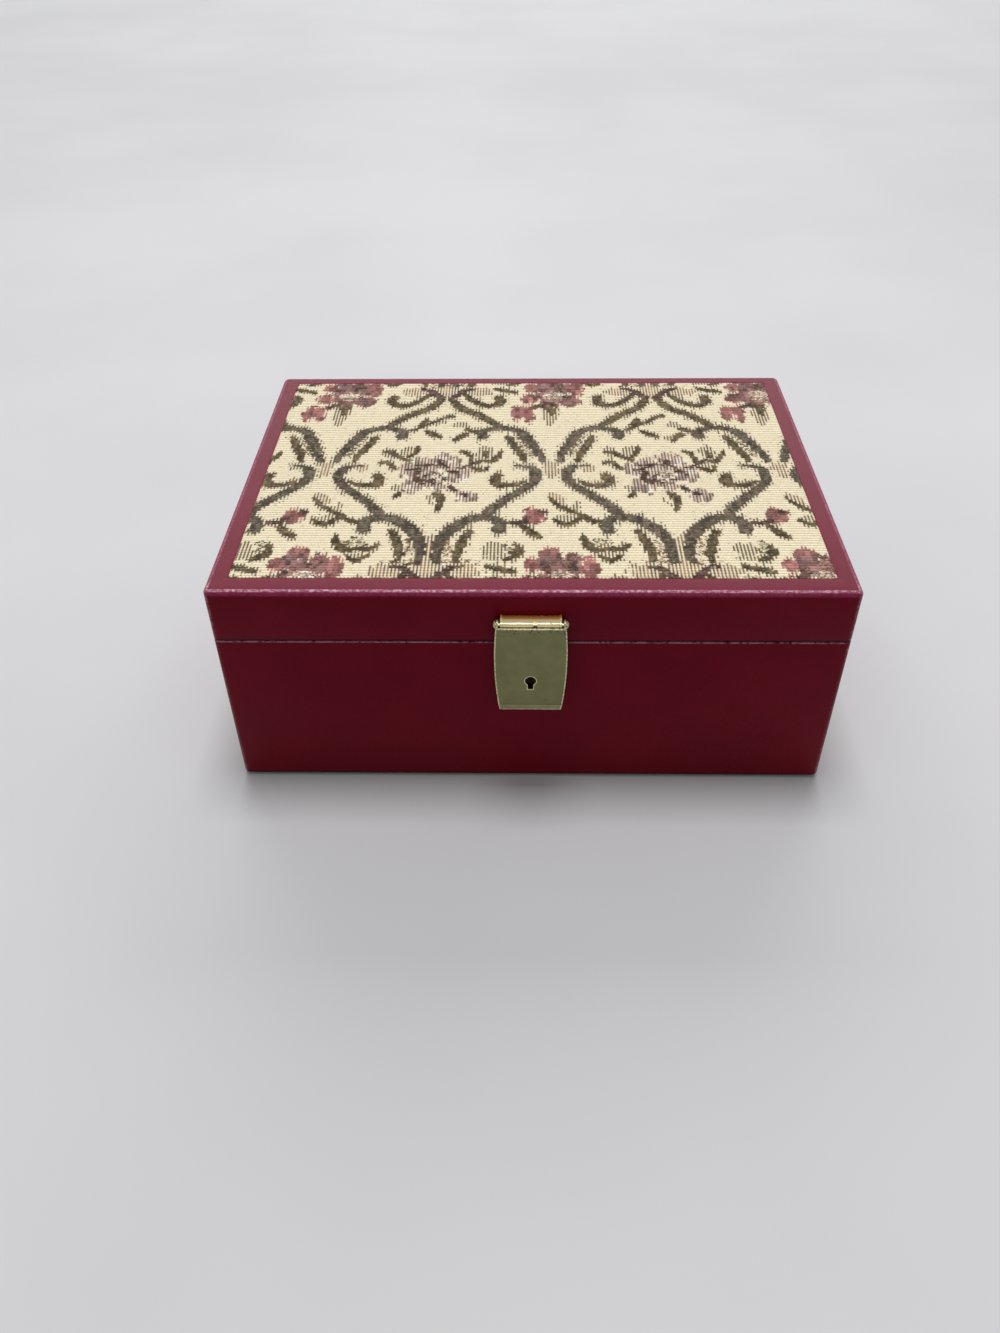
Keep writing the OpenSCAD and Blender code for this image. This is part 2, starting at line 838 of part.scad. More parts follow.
// A leaf spring hooked round a post, with a bend that presses on the bolt's top edge
module bolt_spring() {
    anchor = case_spots[3];
    spring_t = 0.4;
    ring_r = post_r + pin_fit + spring_t;
    press_z = bolt_z + bolt_h + 0.1;
    arm_z = anchor[1] + ring_r - spring_t;
    color(brass)
        translate([0, front_y - bolt_out, 0])
            rotate([90, 0, 0])
                linear_extrude(bolt_t - 0.2)
                    difference() {
                        union() {
                            translate([anchor[0], anchor[1]])
                                circle(ring_r);
                            translate([3, arm_z])
                                square([anchor[0] - 3, spring_t]);
                            polygon([[3, arm_z], [3, arm_z + spring_t], [1.2, press_z + spring_t],
                                [-0.8, arm_z], [-0.8, arm_z - spring_t], [1.2, press_z]]);
                        }
                        translate([anchor[0], anchor[1]])
                            circle(post_r + pin_fit);
                    }
}

// The bolt: a bar with a slot for its guide and a notch that the key's bit turns in
module lock_bolt() {
    slot_r = guide_r + pin_fit;
    mid_z = bolt_z + bolt_h / 2;
    color(brass)
        difference() {
            union() {
                block([bolt_tip, front_y - bolt_out - bolt_t, bolt_z], [bolt_end, front_y - bolt_out, bolt_z + bolt_h]);
                block([-0.6, front_y - bolt_out - bolt_t, bolt_z - 1.6], [4.6, front_y - bolt_out, bolt_z + eps]);
            }
            front_rod(guide_x, bolt_out - 1, mid_z, slot_r, bolt_t + 2);
            front_rod(guide_x + bolt_travel, bolt_out - 1, mid_z, slot_r, bolt_t + 2);
            block([guide_x, front_y - bolt_out - bolt_t - 1, mid_z - slot_r],
                [guide_x + bolt_travel, front_y - bolt_out + 1, mid_z + slot_r]);
            front_rod(bolt_travel / 2, bolt_out - 1, bolt_z - 1.9, 1.6, bolt_t + 2);
        }
}

// The tray's pieces

module tray_base() {
    color("#8a6a4a")
        block([-tray_w / 2, -tray_d / 2, z_tray], [tray_w / 2, tray_d / 2, z_tray + tray_base_t]);
}

module tray_long_walls() {
    color(velvet)
        for (side = [-1, 1])
            translate([0, side * (tray_d - tray_wall_t) / 2, (z_tray + tray_base_t + z_tray_top) / 2])
                cube([tray_w, tray_wall_t, tray_h - tray_base_t], center = true);
}

// End walls with a half-round notch for the fingers
module tray_end_walls() {
    color(velvet)
        for (side = [-1, 1])
            difference() {
                translate([side * (tray_w - tray_wall_t) / 2, 0, (z_tray + tray_base_t + z_tray_top) / 2])
                    cube([tray_wall_t, cell_d, tray_h - tray_base_t], center = true);
                translate([side * tray_w / 2, 0, z_tray_top])
                    rotate([0, 90, 0])
                        cylinder(h = 4 * tray_wall_t, r = notch_r, center = true);
            }
}

module tray_long_divider() {
    color(velvet)
        block([-cell_w / 2, row_split_y - divider_t / 2, z_tray + tray_base_t],
            [cell_w / 2, row_split_y + divider_t / 2, z_divider_top]);
}

// Dividers across one row, evenly spaced
module cross_dividers(count, y0, y1) {
    pitch = (cell_w + divider_t) / count;
    for (k = [1:count - 1])
        translate([-cell_w / 2 + k * pitch - divider_t, 0, 0])
            block([0, y0, z_tray + tray_base_t], [divider_t, y1, z_divider_top]);
}

module tray_cross_dividers() {
    color(velvet) {
        cross_dividers(front_row_count, -cell_d / 2, row_split_y - divider_t / 2);
        cross_dividers(back_row_count, row_split_y + divider_t / 2, cell_d / 2);
    }
}

// Velvet on the floor of each compartment of one row
module row_velvet(count, y0, y1) {
    pitch = (cell_w + divider_t) / count;
    edge = 0.3;
    for (k = [0:count - 1])
        translate([-cell_w / 2 + k * pitch, 0, z_tray + tray_base_t])
            block([edge, y0 + edge, 0], [pitch - divider_t - edge, y1 - edge, tray_pad_t]);
}

module tray_velvet() {
    color("#7d2233") {
        row_velvet(front_row_count, -cell_d / 2, row_split_y - divider_t / 2);
        row_velvet(back_row_count, row_split_y + divider_t / 2, cell_d / 2);
    }
}

foot_pad();
bottom_board();
front_board();
back_board();
left_board();
right_board();
body_leatherette();
floor_pad();
front_liner();
back_liner();
end_liners();
tray_ledges();
hinge_body_leaves();
hinge_pins();
hinge_body_nails();
keeper_plate();
keeper_nails();
lid_front_rim();
lid_back_rim();
lid_left_rim();
lid_right_rim();
lid_top_board();
lid_leatherette();
tapestry_wadding();
tapestry_panel();
lid_satin_pad();
hinge_lid_leaves();
hinge_lid_nails();
lid_bracket();
bracket_rivets();
hasp_plate();
hasp_pin();
lock_case();
case_posts();
key_post();
bolt_guide();
bolt_spring();
lock_bolt();
tray_base();
tray_long_walls();
tray_end_walls();
tray_long_divider();
tray_cross_dividers();
tray_velvet();
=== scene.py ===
"""Dresses the attachment box: leatherette case, tapestry lid, brass hasp lock, lined tray.

Every length is in metres unless a name ends in _mm. X runs to the right, -Y is the front, Z is up.
"""

import json
import logging
import math
from contextlib import contextmanager
from dataclasses import dataclass, field
from enum import Enum
from typing import Any, Callable, Iterator, Sequence

import bmesh
import bpy
import numpy as np
from mathutils import Matrix, Vector, noise

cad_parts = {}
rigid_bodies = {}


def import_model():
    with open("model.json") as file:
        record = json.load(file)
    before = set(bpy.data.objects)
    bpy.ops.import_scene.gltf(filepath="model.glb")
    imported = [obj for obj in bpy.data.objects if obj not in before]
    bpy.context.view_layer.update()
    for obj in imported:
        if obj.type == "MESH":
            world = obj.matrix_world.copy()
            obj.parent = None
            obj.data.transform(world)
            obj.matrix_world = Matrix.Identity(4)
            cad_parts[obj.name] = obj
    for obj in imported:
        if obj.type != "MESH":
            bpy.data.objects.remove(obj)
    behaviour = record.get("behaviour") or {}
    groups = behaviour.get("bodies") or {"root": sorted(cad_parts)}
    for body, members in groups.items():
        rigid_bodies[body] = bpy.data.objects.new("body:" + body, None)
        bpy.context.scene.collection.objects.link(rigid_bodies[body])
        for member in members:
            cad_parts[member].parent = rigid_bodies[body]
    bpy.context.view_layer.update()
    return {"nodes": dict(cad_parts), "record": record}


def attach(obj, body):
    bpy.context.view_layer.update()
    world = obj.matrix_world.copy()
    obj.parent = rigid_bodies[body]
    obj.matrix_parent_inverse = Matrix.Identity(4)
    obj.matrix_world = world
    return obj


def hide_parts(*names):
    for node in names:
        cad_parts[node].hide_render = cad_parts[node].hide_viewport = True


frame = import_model()

MM = 0.001
BOX_WIDTH, BOX_DEPTH, BOX_TOP, BODY_TOP = 230.0 * MM, 169.0 * MM, 91.4 * MM, 69.3 * MM
CORNER = 2.5 * MM
WINDOW_WIDTH, WINDOW_DEPTH, WINDOW_SHIFT = 216.0 * MM, 154.8 * MM, 1.1 * MM
THREAD, RIB = 0.65 * MM, 1.6 * MM
HAIR = 0.1 * MM  # lengths closer than this count as equal
LEVEL = 0.9  # a face counts as level when its normal is this upright
SOFT, BROAD = (0.35, 0.65), (0.3, 0.7)  # levels of a noise between which a finish changes
LOG = logging.getLogger("attachment_box")
Colour = tuple[float, float, float, float]
Point = tuple[float, float, float]
FaceTest = Callable[[Vector, Vector], bool]


def tone(red: int, green: int, blue: int) -> Colour:
    """A colour given as 0 to 255 screen values.

    Args:
        red: Red on the screen.
        green: Green on the screen.
        blue: Blue on the screen.

    Returns:
        The same colour as linear light, with full alpha.
    """
    def linear(value: int) -> float:
        """One channel as linear light."""
        share = value / 255
        return share / 12.92 if share <= 0.04045 else ((share + 0.055) / 1.055) ** 2.4

    return (linear(red), linear(green), linear(blue), 1.0)


class Slot(Enum):
    """The material slots that new pieces take their finish from."""

    LEATHERETTE = "leatherette"
    TAPESTRY = "tapestry"
    SATIN = "satin"
    VELVET = "velvet"
    BASE_CLOTH = "base_cloth"
    TRAY_CARD = "tray_card"
    HASP_BRASS = "hasp_brass"
    BRACKET_BRASS = "bracket_brass"
    LOCK_BRASS = "lock_brass"
    HINGE_BRASS = "hinge_brass"


class Value:
    """A number in a material's nodes, with arithmetic that adds Math nodes."""

    def __init__(self, recipe: "Recipe", socket: bpy.types.NodeSocket) -> None:
        """Wraps an output socket of one of the recipe's nodes."""
        self.recipe = recipe
        self.socket = socket

    def maths(self, operation: str, *others: "Value | float", flip: bool = False) -> "Value":
        """Adds one Math node.

        Args:
            operation: The Math node's operation.
            others: The other operands.
            flip: Whether this value comes second.

        Returns:
            The node's result.
        """
        operands: list[Value | float] = [self, *others]
        if flip:
            operands.reverse()
        settings = {"operation": operation}
        return self.recipe.value("ShaderNodeMath", settings, dict(enumerate(operands)))

    def __add__(self, other: "Value | float") -> "Value":
        """This plus another."""
        return self.maths("ADD", other)

    def __sub__(self, other: "Value | float") -> "Value":
        """This less another."""
        return self.maths("SUBTRACT", other)

    def __rsub__(self, other: "Value | float") -> "Value":
        """Another less this."""
        return self.maths("SUBTRACT", other, flip=True)

    def __mul__(self, other: "Value | float") -> "Value":
        """This times another."""
        return self.maths("MULTIPLY", other)

    def __truediv__(self, other: "Value | float") -> "Value":
        """This over another."""
        return self.maths("DIVIDE", other)

    def __pow__(self, other: float) -> "Value":
        """This to a power."""
        return self.maths("POWER", other)

    def size(self) -> "Value":
        """The value without its sign."""
        return self.maths("ABSOLUTE")

    def highest(self, other: "Value | float") -> "Value":
        """The larger of two values."""
        return self.maths("MAXIMUM", other)

    def lowest(self, other: "Value | float") -> "Value":
        """The smaller of two values."""
        return self.maths("MINIMUM", other)

    def part(self) -> "Value":
        """What is left above the last whole number."""
        return self.maths("FRACT")

    def wave(self) -> "Value":
        """The sine of the value."""
        return self.maths("SINE")

    def step(self, low: float, high: float, at_low: float = 0.0, at_high: float = 1.0) -> "Value":
        """A smooth step between two levels of the value.

        Args:
            low: Where the step starts.
            high: Where it ends.
            at_low: The result before the start.
            at_high: The result after the end.

        Returns:
            The stepped value.
        """
        numbers = {"Value": self, "From Min": low, "From Max": high,
                   "To Min": at_low, "To Max": at_high}
        settings = {"interpolation_type": "SMOOTHSTEP"}
        return self.recipe.value("ShaderNodeMapRange", settings, numbers)


class Recipe:
    """The node tree of one material, with a Principled shader at its end."""

    def __init__(self, name: str) -> None:
        """Starts an empty material of that name."""
        self.material = bpy.data.materials.new(name)
        self.material.use_nodes = True
        self.tree = self.material.node_tree
        self.tree.nodes.clear()
        self.shader = self.node("ShaderNodeBsdfPrincipled", {}, {})
        output = self.node("ShaderNodeOutputMaterial", {}, {})
        self.tree.links.new(self.shader.outputs["BSDF"], output.inputs["Surface"])
        self.place = self.node("ShaderNodeTexCoord", {}, {}).outputs["Object"]
        parts = self.node("ShaderNodeSeparateXYZ", {}, {"Vector": self.place})
        self.x, self.y, self.z = (Value(self, parts.outputs[axis]) for axis in "XYZ")

    def node(self, kind: str, settings: dict[str, Any], inputs: dict[Any, Any]) -> bpy.types.Node:
        """Adds a node.

        Args:
            kind: The node's type.
            settings: Its settings, set before its inputs; stops fill a colour ramp.
            inputs: Values or links of its sockets, by name or number.

        Returns:
            The new node.
        """
        made = self.tree.nodes.new(kind)
        for name, setting in settings.items():
            if name == "stops":
                self.fill_ramp(made.color_ramp, setting)
            else:
                setattr(made, name, setting)
        for name, given in inputs.items():
            self.feed(made.inputs[name], given)
        return made

    def feed(self, socket: bpy.types.NodeSocket, given: Any) -> None:
        """Links a value or an output to a socket, or sets the socket's own number."""
        link = given.socket if isinstance(given, Value) else given
        if isinstance(link, bpy.types.NodeSocket):
            self.tree.links.new(link, socket)
        else:
            socket.default_value = given

    @staticmethod
    def fill_ramp(ramp: bpy.types.ColorRamp, stops: Sequence[tuple[float, Colour]]) -> None:
        """Gives a colour ramp its stops, as places with colours."""
        while len(ramp.elements) < len(stops):
            ramp.elements.new(1.0)
        for element, (place, colour) in zip(ramp.elements, stops):
            element.position = place
            element.color = colour

    def value(self, kind: str, settings: dict[str, Any], inputs: dict[Any, Any],
              output: Any = 0) -> Value:
        """Adds a node and wraps one of its outputs."""
        return Value(self, self.node(kind, settings, inputs).outputs[output])

    def mix(self, share: Value | float, first: Any, second: Any, blend: str = "MIX") -> Any:
        """Mixes two colours.

        Args:
            share: How much of the second colour shows.
            first: A colour or a colour socket.
            second: A colour or a colour socket.
            blend: The way they are mixed.

        Returns:
            The socket of the mixed colour.
        """
        settings = {"data_type": "RGBA", "blend_type": blend, "clamp_factor": True}
        return self.node("ShaderNodeMix", settings, {0: share, 6: first, 7: second}).outputs[2]

    def stretched(self, factors: Point) -> bpy.types.NodeSocket:
        """The object's coordinates, scaled along each axis."""
        inputs = {"Vector": self.place, "Scale": factors}
        return self.node("ShaderNodeMapping", {}, inputs).outputs[0]

    def mottle(self, grain: float, detail: float = 2.0, rough: float = 0.5, shift: float = 0.0,
               along: Point = (1.0, 1.0, 1.0)) -> Value:
        """Soft noise from 0 to 1.

        Args:
            grain: Size of the noise's patches.
            detail: Number of finer layers.
            rough: Strength of the finer layers.
            shift: A seed that gives other patches.
            along: Stretch of the pattern along each axis.

        Returns:
            The noise.
        """
        settings = {"noise_dimensions": "4D"}
        numbers = {"Vector": self.stretched(along), "W": shift, "Scale": 1 / grain,
                   "Detail": detail, "Roughness": rough}
        return self.value("ShaderNodeTexNoise", settings, numbers)

    def pebble(self, grain: float, feature: str = "F1") -> Value:
        """Distance to the nearest of scattered points, in patches of a size."""
        return self.value("ShaderNodeTexVoronoi", {"feature": feature},
                          {"Vector": self.place, "Scale": 1 / grain}, "Distance")

    def relief(self, height: Value, depth: float, under: Any = None) -> bpy.types.NodeSocket:
        """Turns a height into a bumped normal.

        Args:
            height: The height, from 0 to 1.
            depth: The height of 1 in metres.
            under: A normal that this one lies over.

        Returns:
            The normal's socket.
        """
        inputs: dict[str, Any] = {"Height": height, "Distance": depth, "Strength": 1.0}
        if under is not None:
            inputs["Normal"] = under
        return self.node("ShaderNodeBump", {}, inputs).outputs["Normal"]

    def finish(self, base: Any, roughness: Any, normal: Any = None, metallic: Any = 0.0,
               **fixed: Any) -> bpy.types.Material:
        """Feeds the Principled shader.

        Args:
            base: The base colour or its socket.
            roughness: The roughness or its value.
            normal: The normal's socket.
            metallic: The metallic share or its value.
            fixed: Numbers set on further sockets, with _ for each space in their names.

        Returns:
            The finished material.
        """
        fed = {"Base Color": base, "Roughness": roughness, "Metallic": metallic}
        fed |= {name.replace("_", " "): number for name, number in fixed.items()}
        if normal is not None:
            fed["Normal"] = normal
        for name, given in fed.items():
            self.feed(self.shader.inputs[name], given)
        return self.material


@dataclass(frozen=True)
class Leatherette:
    """Burgundy leathercloth with a fine grain, rubbed pale along its edges, with painted sheen on
    its top border, a painted highlight along its rolled upper edge, and painted shade over the seam
    and round the foot.
    """

    base: Colour = tone(107, 2, 17)
    deep: Colour = tone(101, 1, 15)
    # Painted sheen colour of the top border.
    top_sheen: Colour = tone(112, 8, 46)
    # rolled is the painted highlight colour of the rolled upper edge.
    rolled: Colour = tone(150, 58, 92)
    rubbed: Colour = tone(200, 138, 152)
    glint: Colour = tone(238, 206, 214)
    shadow: Colour = tone(30, 2, 8)
    sheen: Colour = (1.0, 0.4, 0.78, 1.0)
    grain: float = 0.5 * MM
    half_width: float = BOX_WIDTH / 2
    half_depth: float = BOX_DEPTH / 2
    seam: float = BODY_TOP
    top: float = BOX_TOP
    corner: float = CORNER

    def material(self) -> bpy.types.Material:
        """Builds the finish."""
        make = Recipe("leatherette")
        cloud = make.mottle(30 * MM, 3.0)
        colour = make.mix(cloud.step(0.35, 0.7), self.deep, self.base)
        patchy = make.mottle(1.4 * MM, 4.0, 0.65, shift=5.0)
        worn = self.worn_line(make, patchy).highest(self.worn_corner(make, patchy))
        colour = make.mix(worn * 0.8, colour, self.rubbed)
        # Painted sheen: the top border near the front is mixed towards a lighter magenta, in
        # patches.
        on_top = (make.z - self.top).step(-1.6 * MM, -0.4 * MM)
        at_front = make.y.step(-self.half_depth, -self.half_depth + 9 * MM, 1.0, 0.3)
        patchy_sheen = patchy.step(0.25, 0.75, 0.3, 1.0)
        colour = make.mix(on_top * at_front * patchy_sheen, colour, self.top_sheen)
        side = make.x.size() - self.half_width + self.half_depth
        edge = make.y.size().highest(side) - self.half_depth
        # Painted highlight: the rolled upper edge is mixed towards a pale lilac band.
        roll_highlight = (make.z - self.top).step(-2.2 * MM, -1.2 * MM) * edge.step(-2.1 * MM, -1.6 * MM)
        colour = make.mix(roll_highlight * patchy.step(0.3, 0.6, 0.3, 0.7), colour, self.rolled)
        # Painted highlight: a sparkling pale line along the top of the rolled front edge.
        glint_sparkle = make.mottle(0.7 * MM, 3.0, 0.6, shift=8.0, along=(0.6, 1.0, 1.0)).step(0.46, 0.6)
        highlight_ridge = (edge + 1.25 * MM).size().step(0.3 * MM, 0.75 * MM, 1.0, 0.0) * on_top
        colour = make.mix(highlight_ridge * at_front * (glint_sparkle * 0.55 + 0.12), colour, self.glint)
        # Painted shade: darker over the seam and along the foot.
        colour = make.mix(self.shaded(make) * 0.85, colour, self.shadow)
        grain = make.pebble(self.grain)
        fine = make.mottle(0.25 * MM, 2.0, shift=3.0)
        normal = make.relief(grain * 0.6 + fine * 0.4, 0.05 * MM)
        rough = fine.step(*BROAD, 0.32, 0.42) + worn * 0.2
        return make.finish(colour, rough, normal, Specular_IOR_Level=0.15, Specular_Tint=self.sheen)

    def shaded(self, make: Recipe) -> Value:
        """Painted shade in the gap over the seam and round the foot."""
        from_seam = (make.z - self.seam - 0.2 * MM).step(0.0, 0.1 * MM)
        fading = (make.z - self.seam).step(0.9 * MM, 1.5 * MM, 1.0, 0.0)
        return (from_seam * fading).highest(make.z.step(1.6 * MM, 2.6 * MM, 0.8, 0.0))

    def worn_line(self, make: Recipe, patchy: Value) -> Value:
        """The pale line where the body's upper edge has rubbed."""
        below = (make.z - self.seam + 0.5 * MM).step(0.0, 0.25 * MM)
        above = (make.z - self.seam - 0.05 * MM).step(0.0, 0.1 * MM, 1.0, 0.0)
        outer_x, outer_y = ((place.size() - half + 0.9 * MM).step(0.0, 0.3 * MM) for place, half in
                            ((make.x, self.half_width), (make.y, self.half_depth)))
        return below * above * outer_x.highest(outer_y) * patchy.step(0.36, 0.56)

    def worn_corner(self, make: Recipe, patchy: Value) -> Value:
        """Wear on the upright corners, most of it near the top and the foot."""
        across = (make.x.size() - self.half_width + self.corner).highest(0.0)
        along = (make.y.size() - self.half_depth + self.corner).highest(0.0)
        turn = (across * along * (1 / self.corner ** 2)).step(0.25, 0.5)
        ends = (make.z - self.top / 2).size().step(self.top * 0.2, self.top * 0.5, 0.0, 0.16)
        return turn * (patchy + ends).step(0.56, 0.72) * 0.7


@dataclass(frozen=True)
class WovenCloth:
    """The tapestry's yarns: colours from the weave, with ribs and threads in relief, and painted
    shade in the grooves between ribs, at the edges of threads and between the loops along the front
    edge.
    """

    stroke: float = THREAD
    rib: float = RIB
    front_edge: float = WINDOW_SHIFT - WINDOW_DEPTH / 2
    left: float = -200.0 * MM

    def material(self) -> bpy.types.Material:
        """Builds the finish."""
        make = Recipe("tapestry")
        yarn = make.node("ShaderNodeAttribute", {"attribute_name": "yarn"}, {}).outputs["Color"]
        ribs = (make.y - self.front_edge) / self.rib
        along = ribs.part()
        stagger = ((ribs - along) * 0.5).part()
        thread = (((make.x - self.left) / (2 * self.stroke) + stagger).part() * math.pi).wave()
        hem = (make.y - self.front_edge).step(0.5 * MM, 1.3 * MM, 1.0, 0.0)
        rib = (along * math.pi).wave()
        fuzz = make.mottle(0.35 * MM, 3.0, 0.6)
        # Painted shade: darker in the rib grooves, at thread edges and between the front loops;
        # fuzz varies the yarn at random.
        rib_and_thread_shade = rib.step(0.0, 0.7, 0.62, 1.0) * thread.step(0.0, 0.7, 0.92, 1.02)
        loops = 1.0 - hem * thread.step(0.3, 0.8, 0.6, 0.0)
        shade = rib_and_thread_shade * fuzz.step(0.2, 0.8, 0.86, 1.08) * loops
        shade_grey = make.node("ShaderNodeCombineColor", {}, {0: shade, 1: shade, 2: shade}).outputs[0]
        colour = make.mix(1.0, yarn, shade_grey, "MULTIPLY")
        normal = make.relief(rib * 0.7 + thread * 0.3 + fuzz * 0.3, 0.2 * MM)
        return make.finish(colour, 0.92, normal, Specular_IOR_Level=0.15, Sheen_Weight=0.1)


@dataclass(frozen=True)
class Velvet:
    """Short-pile cloth on the lining and in the tray."""

    name: str
    base: Colour
    shade: Colour

    def material(self) -> bpy.types.Material:
        """Builds the finish."""
        make = Recipe(self.name)
        brushed = make.mottle(6 * MM, 4.0, 0.6)
        pile = make.mottle(0.25 * MM, 2.0, shift=2.0)
        colour = make.mix(brushed.step(*SOFT), self.shade, self.base)
        colour = make.mix(pile.step(0.3, 0.8) * 0.3, colour, self.base)
        normal = make.relief(pile, 0.12 * MM)
        return make.finish(colour, 0.95, normal, Specular_IOR_Level=0.1, Sheen_Weight=0.5,
                           Sheen_Roughness=0.4)


@dataclass(frozen=True)
class Satin:
    """Smooth shiny cloth with a fine thread."""

    base: Colour = tone(176, 120, 130)

    def material(self) -> bpy.types.Material:
        """Builds the finish."""
        make = Recipe("satin")
        thread = ((make.x / (0.3 * MM)) * math.pi).wave()
        slub = make.mottle(1.0 * MM, 3.0, along=(0.15, 1.0, 1.0))
        colour = make.mix(slub.step(*BROAD), self.base, tone(190, 136, 144))
        normal = make.relief(thread * 0.3 + slub, 0.04 * MM)
        rough = slub.step(*BROAD, 0.3, 0.42)
        return make.finish(colour, rough, normal, Specular_IOR_Level=0.5)


@dataclass(frozen=True)
class Timber:
    """Pale softwood boards under the covering."""

    base: Colour = tone(205, 170, 122)
    line: Colour = tone(168, 126, 80)

    def material(self) -> bpy.types.Material:
        """Builds the finish."""
        make = Recipe("timber")
        grain = make.mottle(4 * MM, 5.0, 0.6, along=(0.08, 1.0, 1.0))
        pores = make.mottle(0.5 * MM, 2.0, along=(0.1, 1.0, 1.0))
        colour = make.mix(grain.step(*SOFT), self.base, self.line)
        normal = make.relief(pores + grain, 0.06 * MM)
        return make.finish(colour, 0.7, normal)


@dataclass(frozen=True)
class Brass:
    """Aged brass plate, dulled and spotted."""

    name: str
    base: Colour
    dull: Colour
    spot: Colour
    roughness: float
    metallic: float = 0.9
    spots: float = 0.3

    def material(self) -> bpy.types.Material:
        """Builds the finish."""
        make = Recipe(self.name)
        cloud = make.mottle(5 * MM, 4.0, 0.6)
        colour = make.mix(cloud.step(*SOFT), self.dull, self.base)
        spot = make.mottle(0.9 * MM, 3.0, 0.6, shift=4.0).step(0.68, 0.75) * self.spots
        colour = make.mix(spot, colour, self.spot)
        scratch = make.mottle(0.2 * MM, 2.0, along=(1.0, 1.0, 0.1))
        rough = cloud.step(*BROAD, self.roughness - 0.06, self.roughness + 0.08) + spot * 0.3
        normal = make.relief(scratch * 0.5 + cloud, 0.02 * MM)
        return make.finish(colour, rough, normal, self.metallic)


@dataclass(frozen=True)
class HaspPlate:
    """The hasp's dull greenish brass, bright where its edges and its keyhole are rubbed and painted
    as highlights, with a painted lighter band on its foot and painted shade in the crease above it.
    """

    base: Colour = tone(138, 135, 94)
    dull: Colour = tone(124, 124, 84)
    # foot is the painted highlight colour of the bent foot band.
    foot: Colour = tone(164, 162, 122)
    bright: Colour = tone(244, 234, 196)
    spot: Colour = tone(60, 52, 36)
    front: float = -90.5 * MM
    half_width: float = 13.1 * MM
    side_r: float = 170.0 * MM
    side_z: float = 65.4 * MM
    foot_low: float = 41.4 * MM
    foot_top: float = 44.4 * MM
    crown: float = 79.9 * MM
    keyhole_z: float = 56.0 * MM
    keyhole_r: float = 2.05 * MM
    slot_half: float = 1.05 * MM
    slot_end: float = 52.0 * MM

    def material(self) -> bpy.types.Material:
        """Builds the finish."""
        make = Recipe("hasp_brass")
        cloud = make.mottle(7 * MM, 4.0, 0.55)
        colour = make.mix(cloud.step(*SOFT), self.dull, self.base)
        # Painted highlight: the bent foot band is mixed towards a lighter tone.
        low = (make.z - self.foot_top).step(-0.25 * MM, 0.15 * MM, 1.0, 0.0)
        colour = make.mix(low * cloud.step(0.3, 0.6, 0.5, 0.9), colour, self.foot)
        # Painted shade: a dark line in the crease above the foot.
        crease = (make.z - self.foot_top - 0.2 * MM).size().step(0.05 * MM, 0.3 * MM, 0.35, 0.0)
        colour = make.mix(crease, colour, self.spot)
        edge = self.from_edge(make)
        upper = (make.z - self.crown).step(-10 * MM, 0.0, 0.0, 0.1)
        upper = upper + edge.step(0.4 * MM, 2 * MM, 0.05, 0.0)
        spot = (make.mottle(0.8 * MM, 3.0, 0.6, shift=4.0) + upper).step(0.68, 0.74)
        colour = make.mix(spot * 0.75, colour, self.spot)
        # Rubbed brass and painted highlight: the outline and keyhole rim are mixed towards pale
        # cream.
        highlight_breakup = make.mottle(0.8 * MM, 2.0, shift=9.0)
        rubbed = edge.step(0.3 * MM, 0.55 * MM, 1.0, 0.0) * highlight_breakup.step(0.36, 0.56, 0.25, 0.95)
        rubbed = rubbed.highest(self.keyhole_highlight(make) * highlight_breakup.step(0.3, 0.5, 0.6, 1.0))
        colour = make.mix(rubbed * 0.9, colour, self.bright)
        scratch = make.mottle(0.25 * MM, 2.0, along=(1.0, 1.0, 0.1))
        normal = make.relief(scratch * 0.5 + cloud, 0.02 * MM)
        rough = cloud.step(*BROAD, 0.4, 0.52) + spot * 0.3 - rubbed * 0.1
        return make.finish(colour, rough, normal, (rubbed * -0.45 + 0.85) - spot * 0.4)

    def from_edge(self, make: Recipe) -> Value:
        """Distance inwards from the plate's outline, on its front."""
        rise = make.z - self.side_z
        side = rise * rise * (-0.5 / self.side_r) + self.half_width - make.x.size()
        ends = (make.z - self.foot_low).lowest(make.z * -1.0 + self.crown)
        behind = (make.y - self.front).step(0.9 * MM, 1.2 * MM, 0.0, 5 * MM)
        return side.lowest(ends).highest(behind)

    def keyhole_highlight(self, make: Recipe) -> Value:
        """A line round the keyhole, rubbed bright and painted as a highlight."""
        rise = make.z - self.keyhole_z
        ring = (make.x * make.x + rise * rise) ** 0.5 - self.keyhole_r
        slot = (make.x.size() - self.slot_half).highest(rise).highest(make.z * -1.0 + self.slot_end)
        on_front = (make.y - self.front).step(0.1 * MM, 0.3 * MM, 1.0, 0.0)
        return ring.lowest(slot).step(0.2 * MM, 0.34 * MM, 1.0, 0.0) * on_front


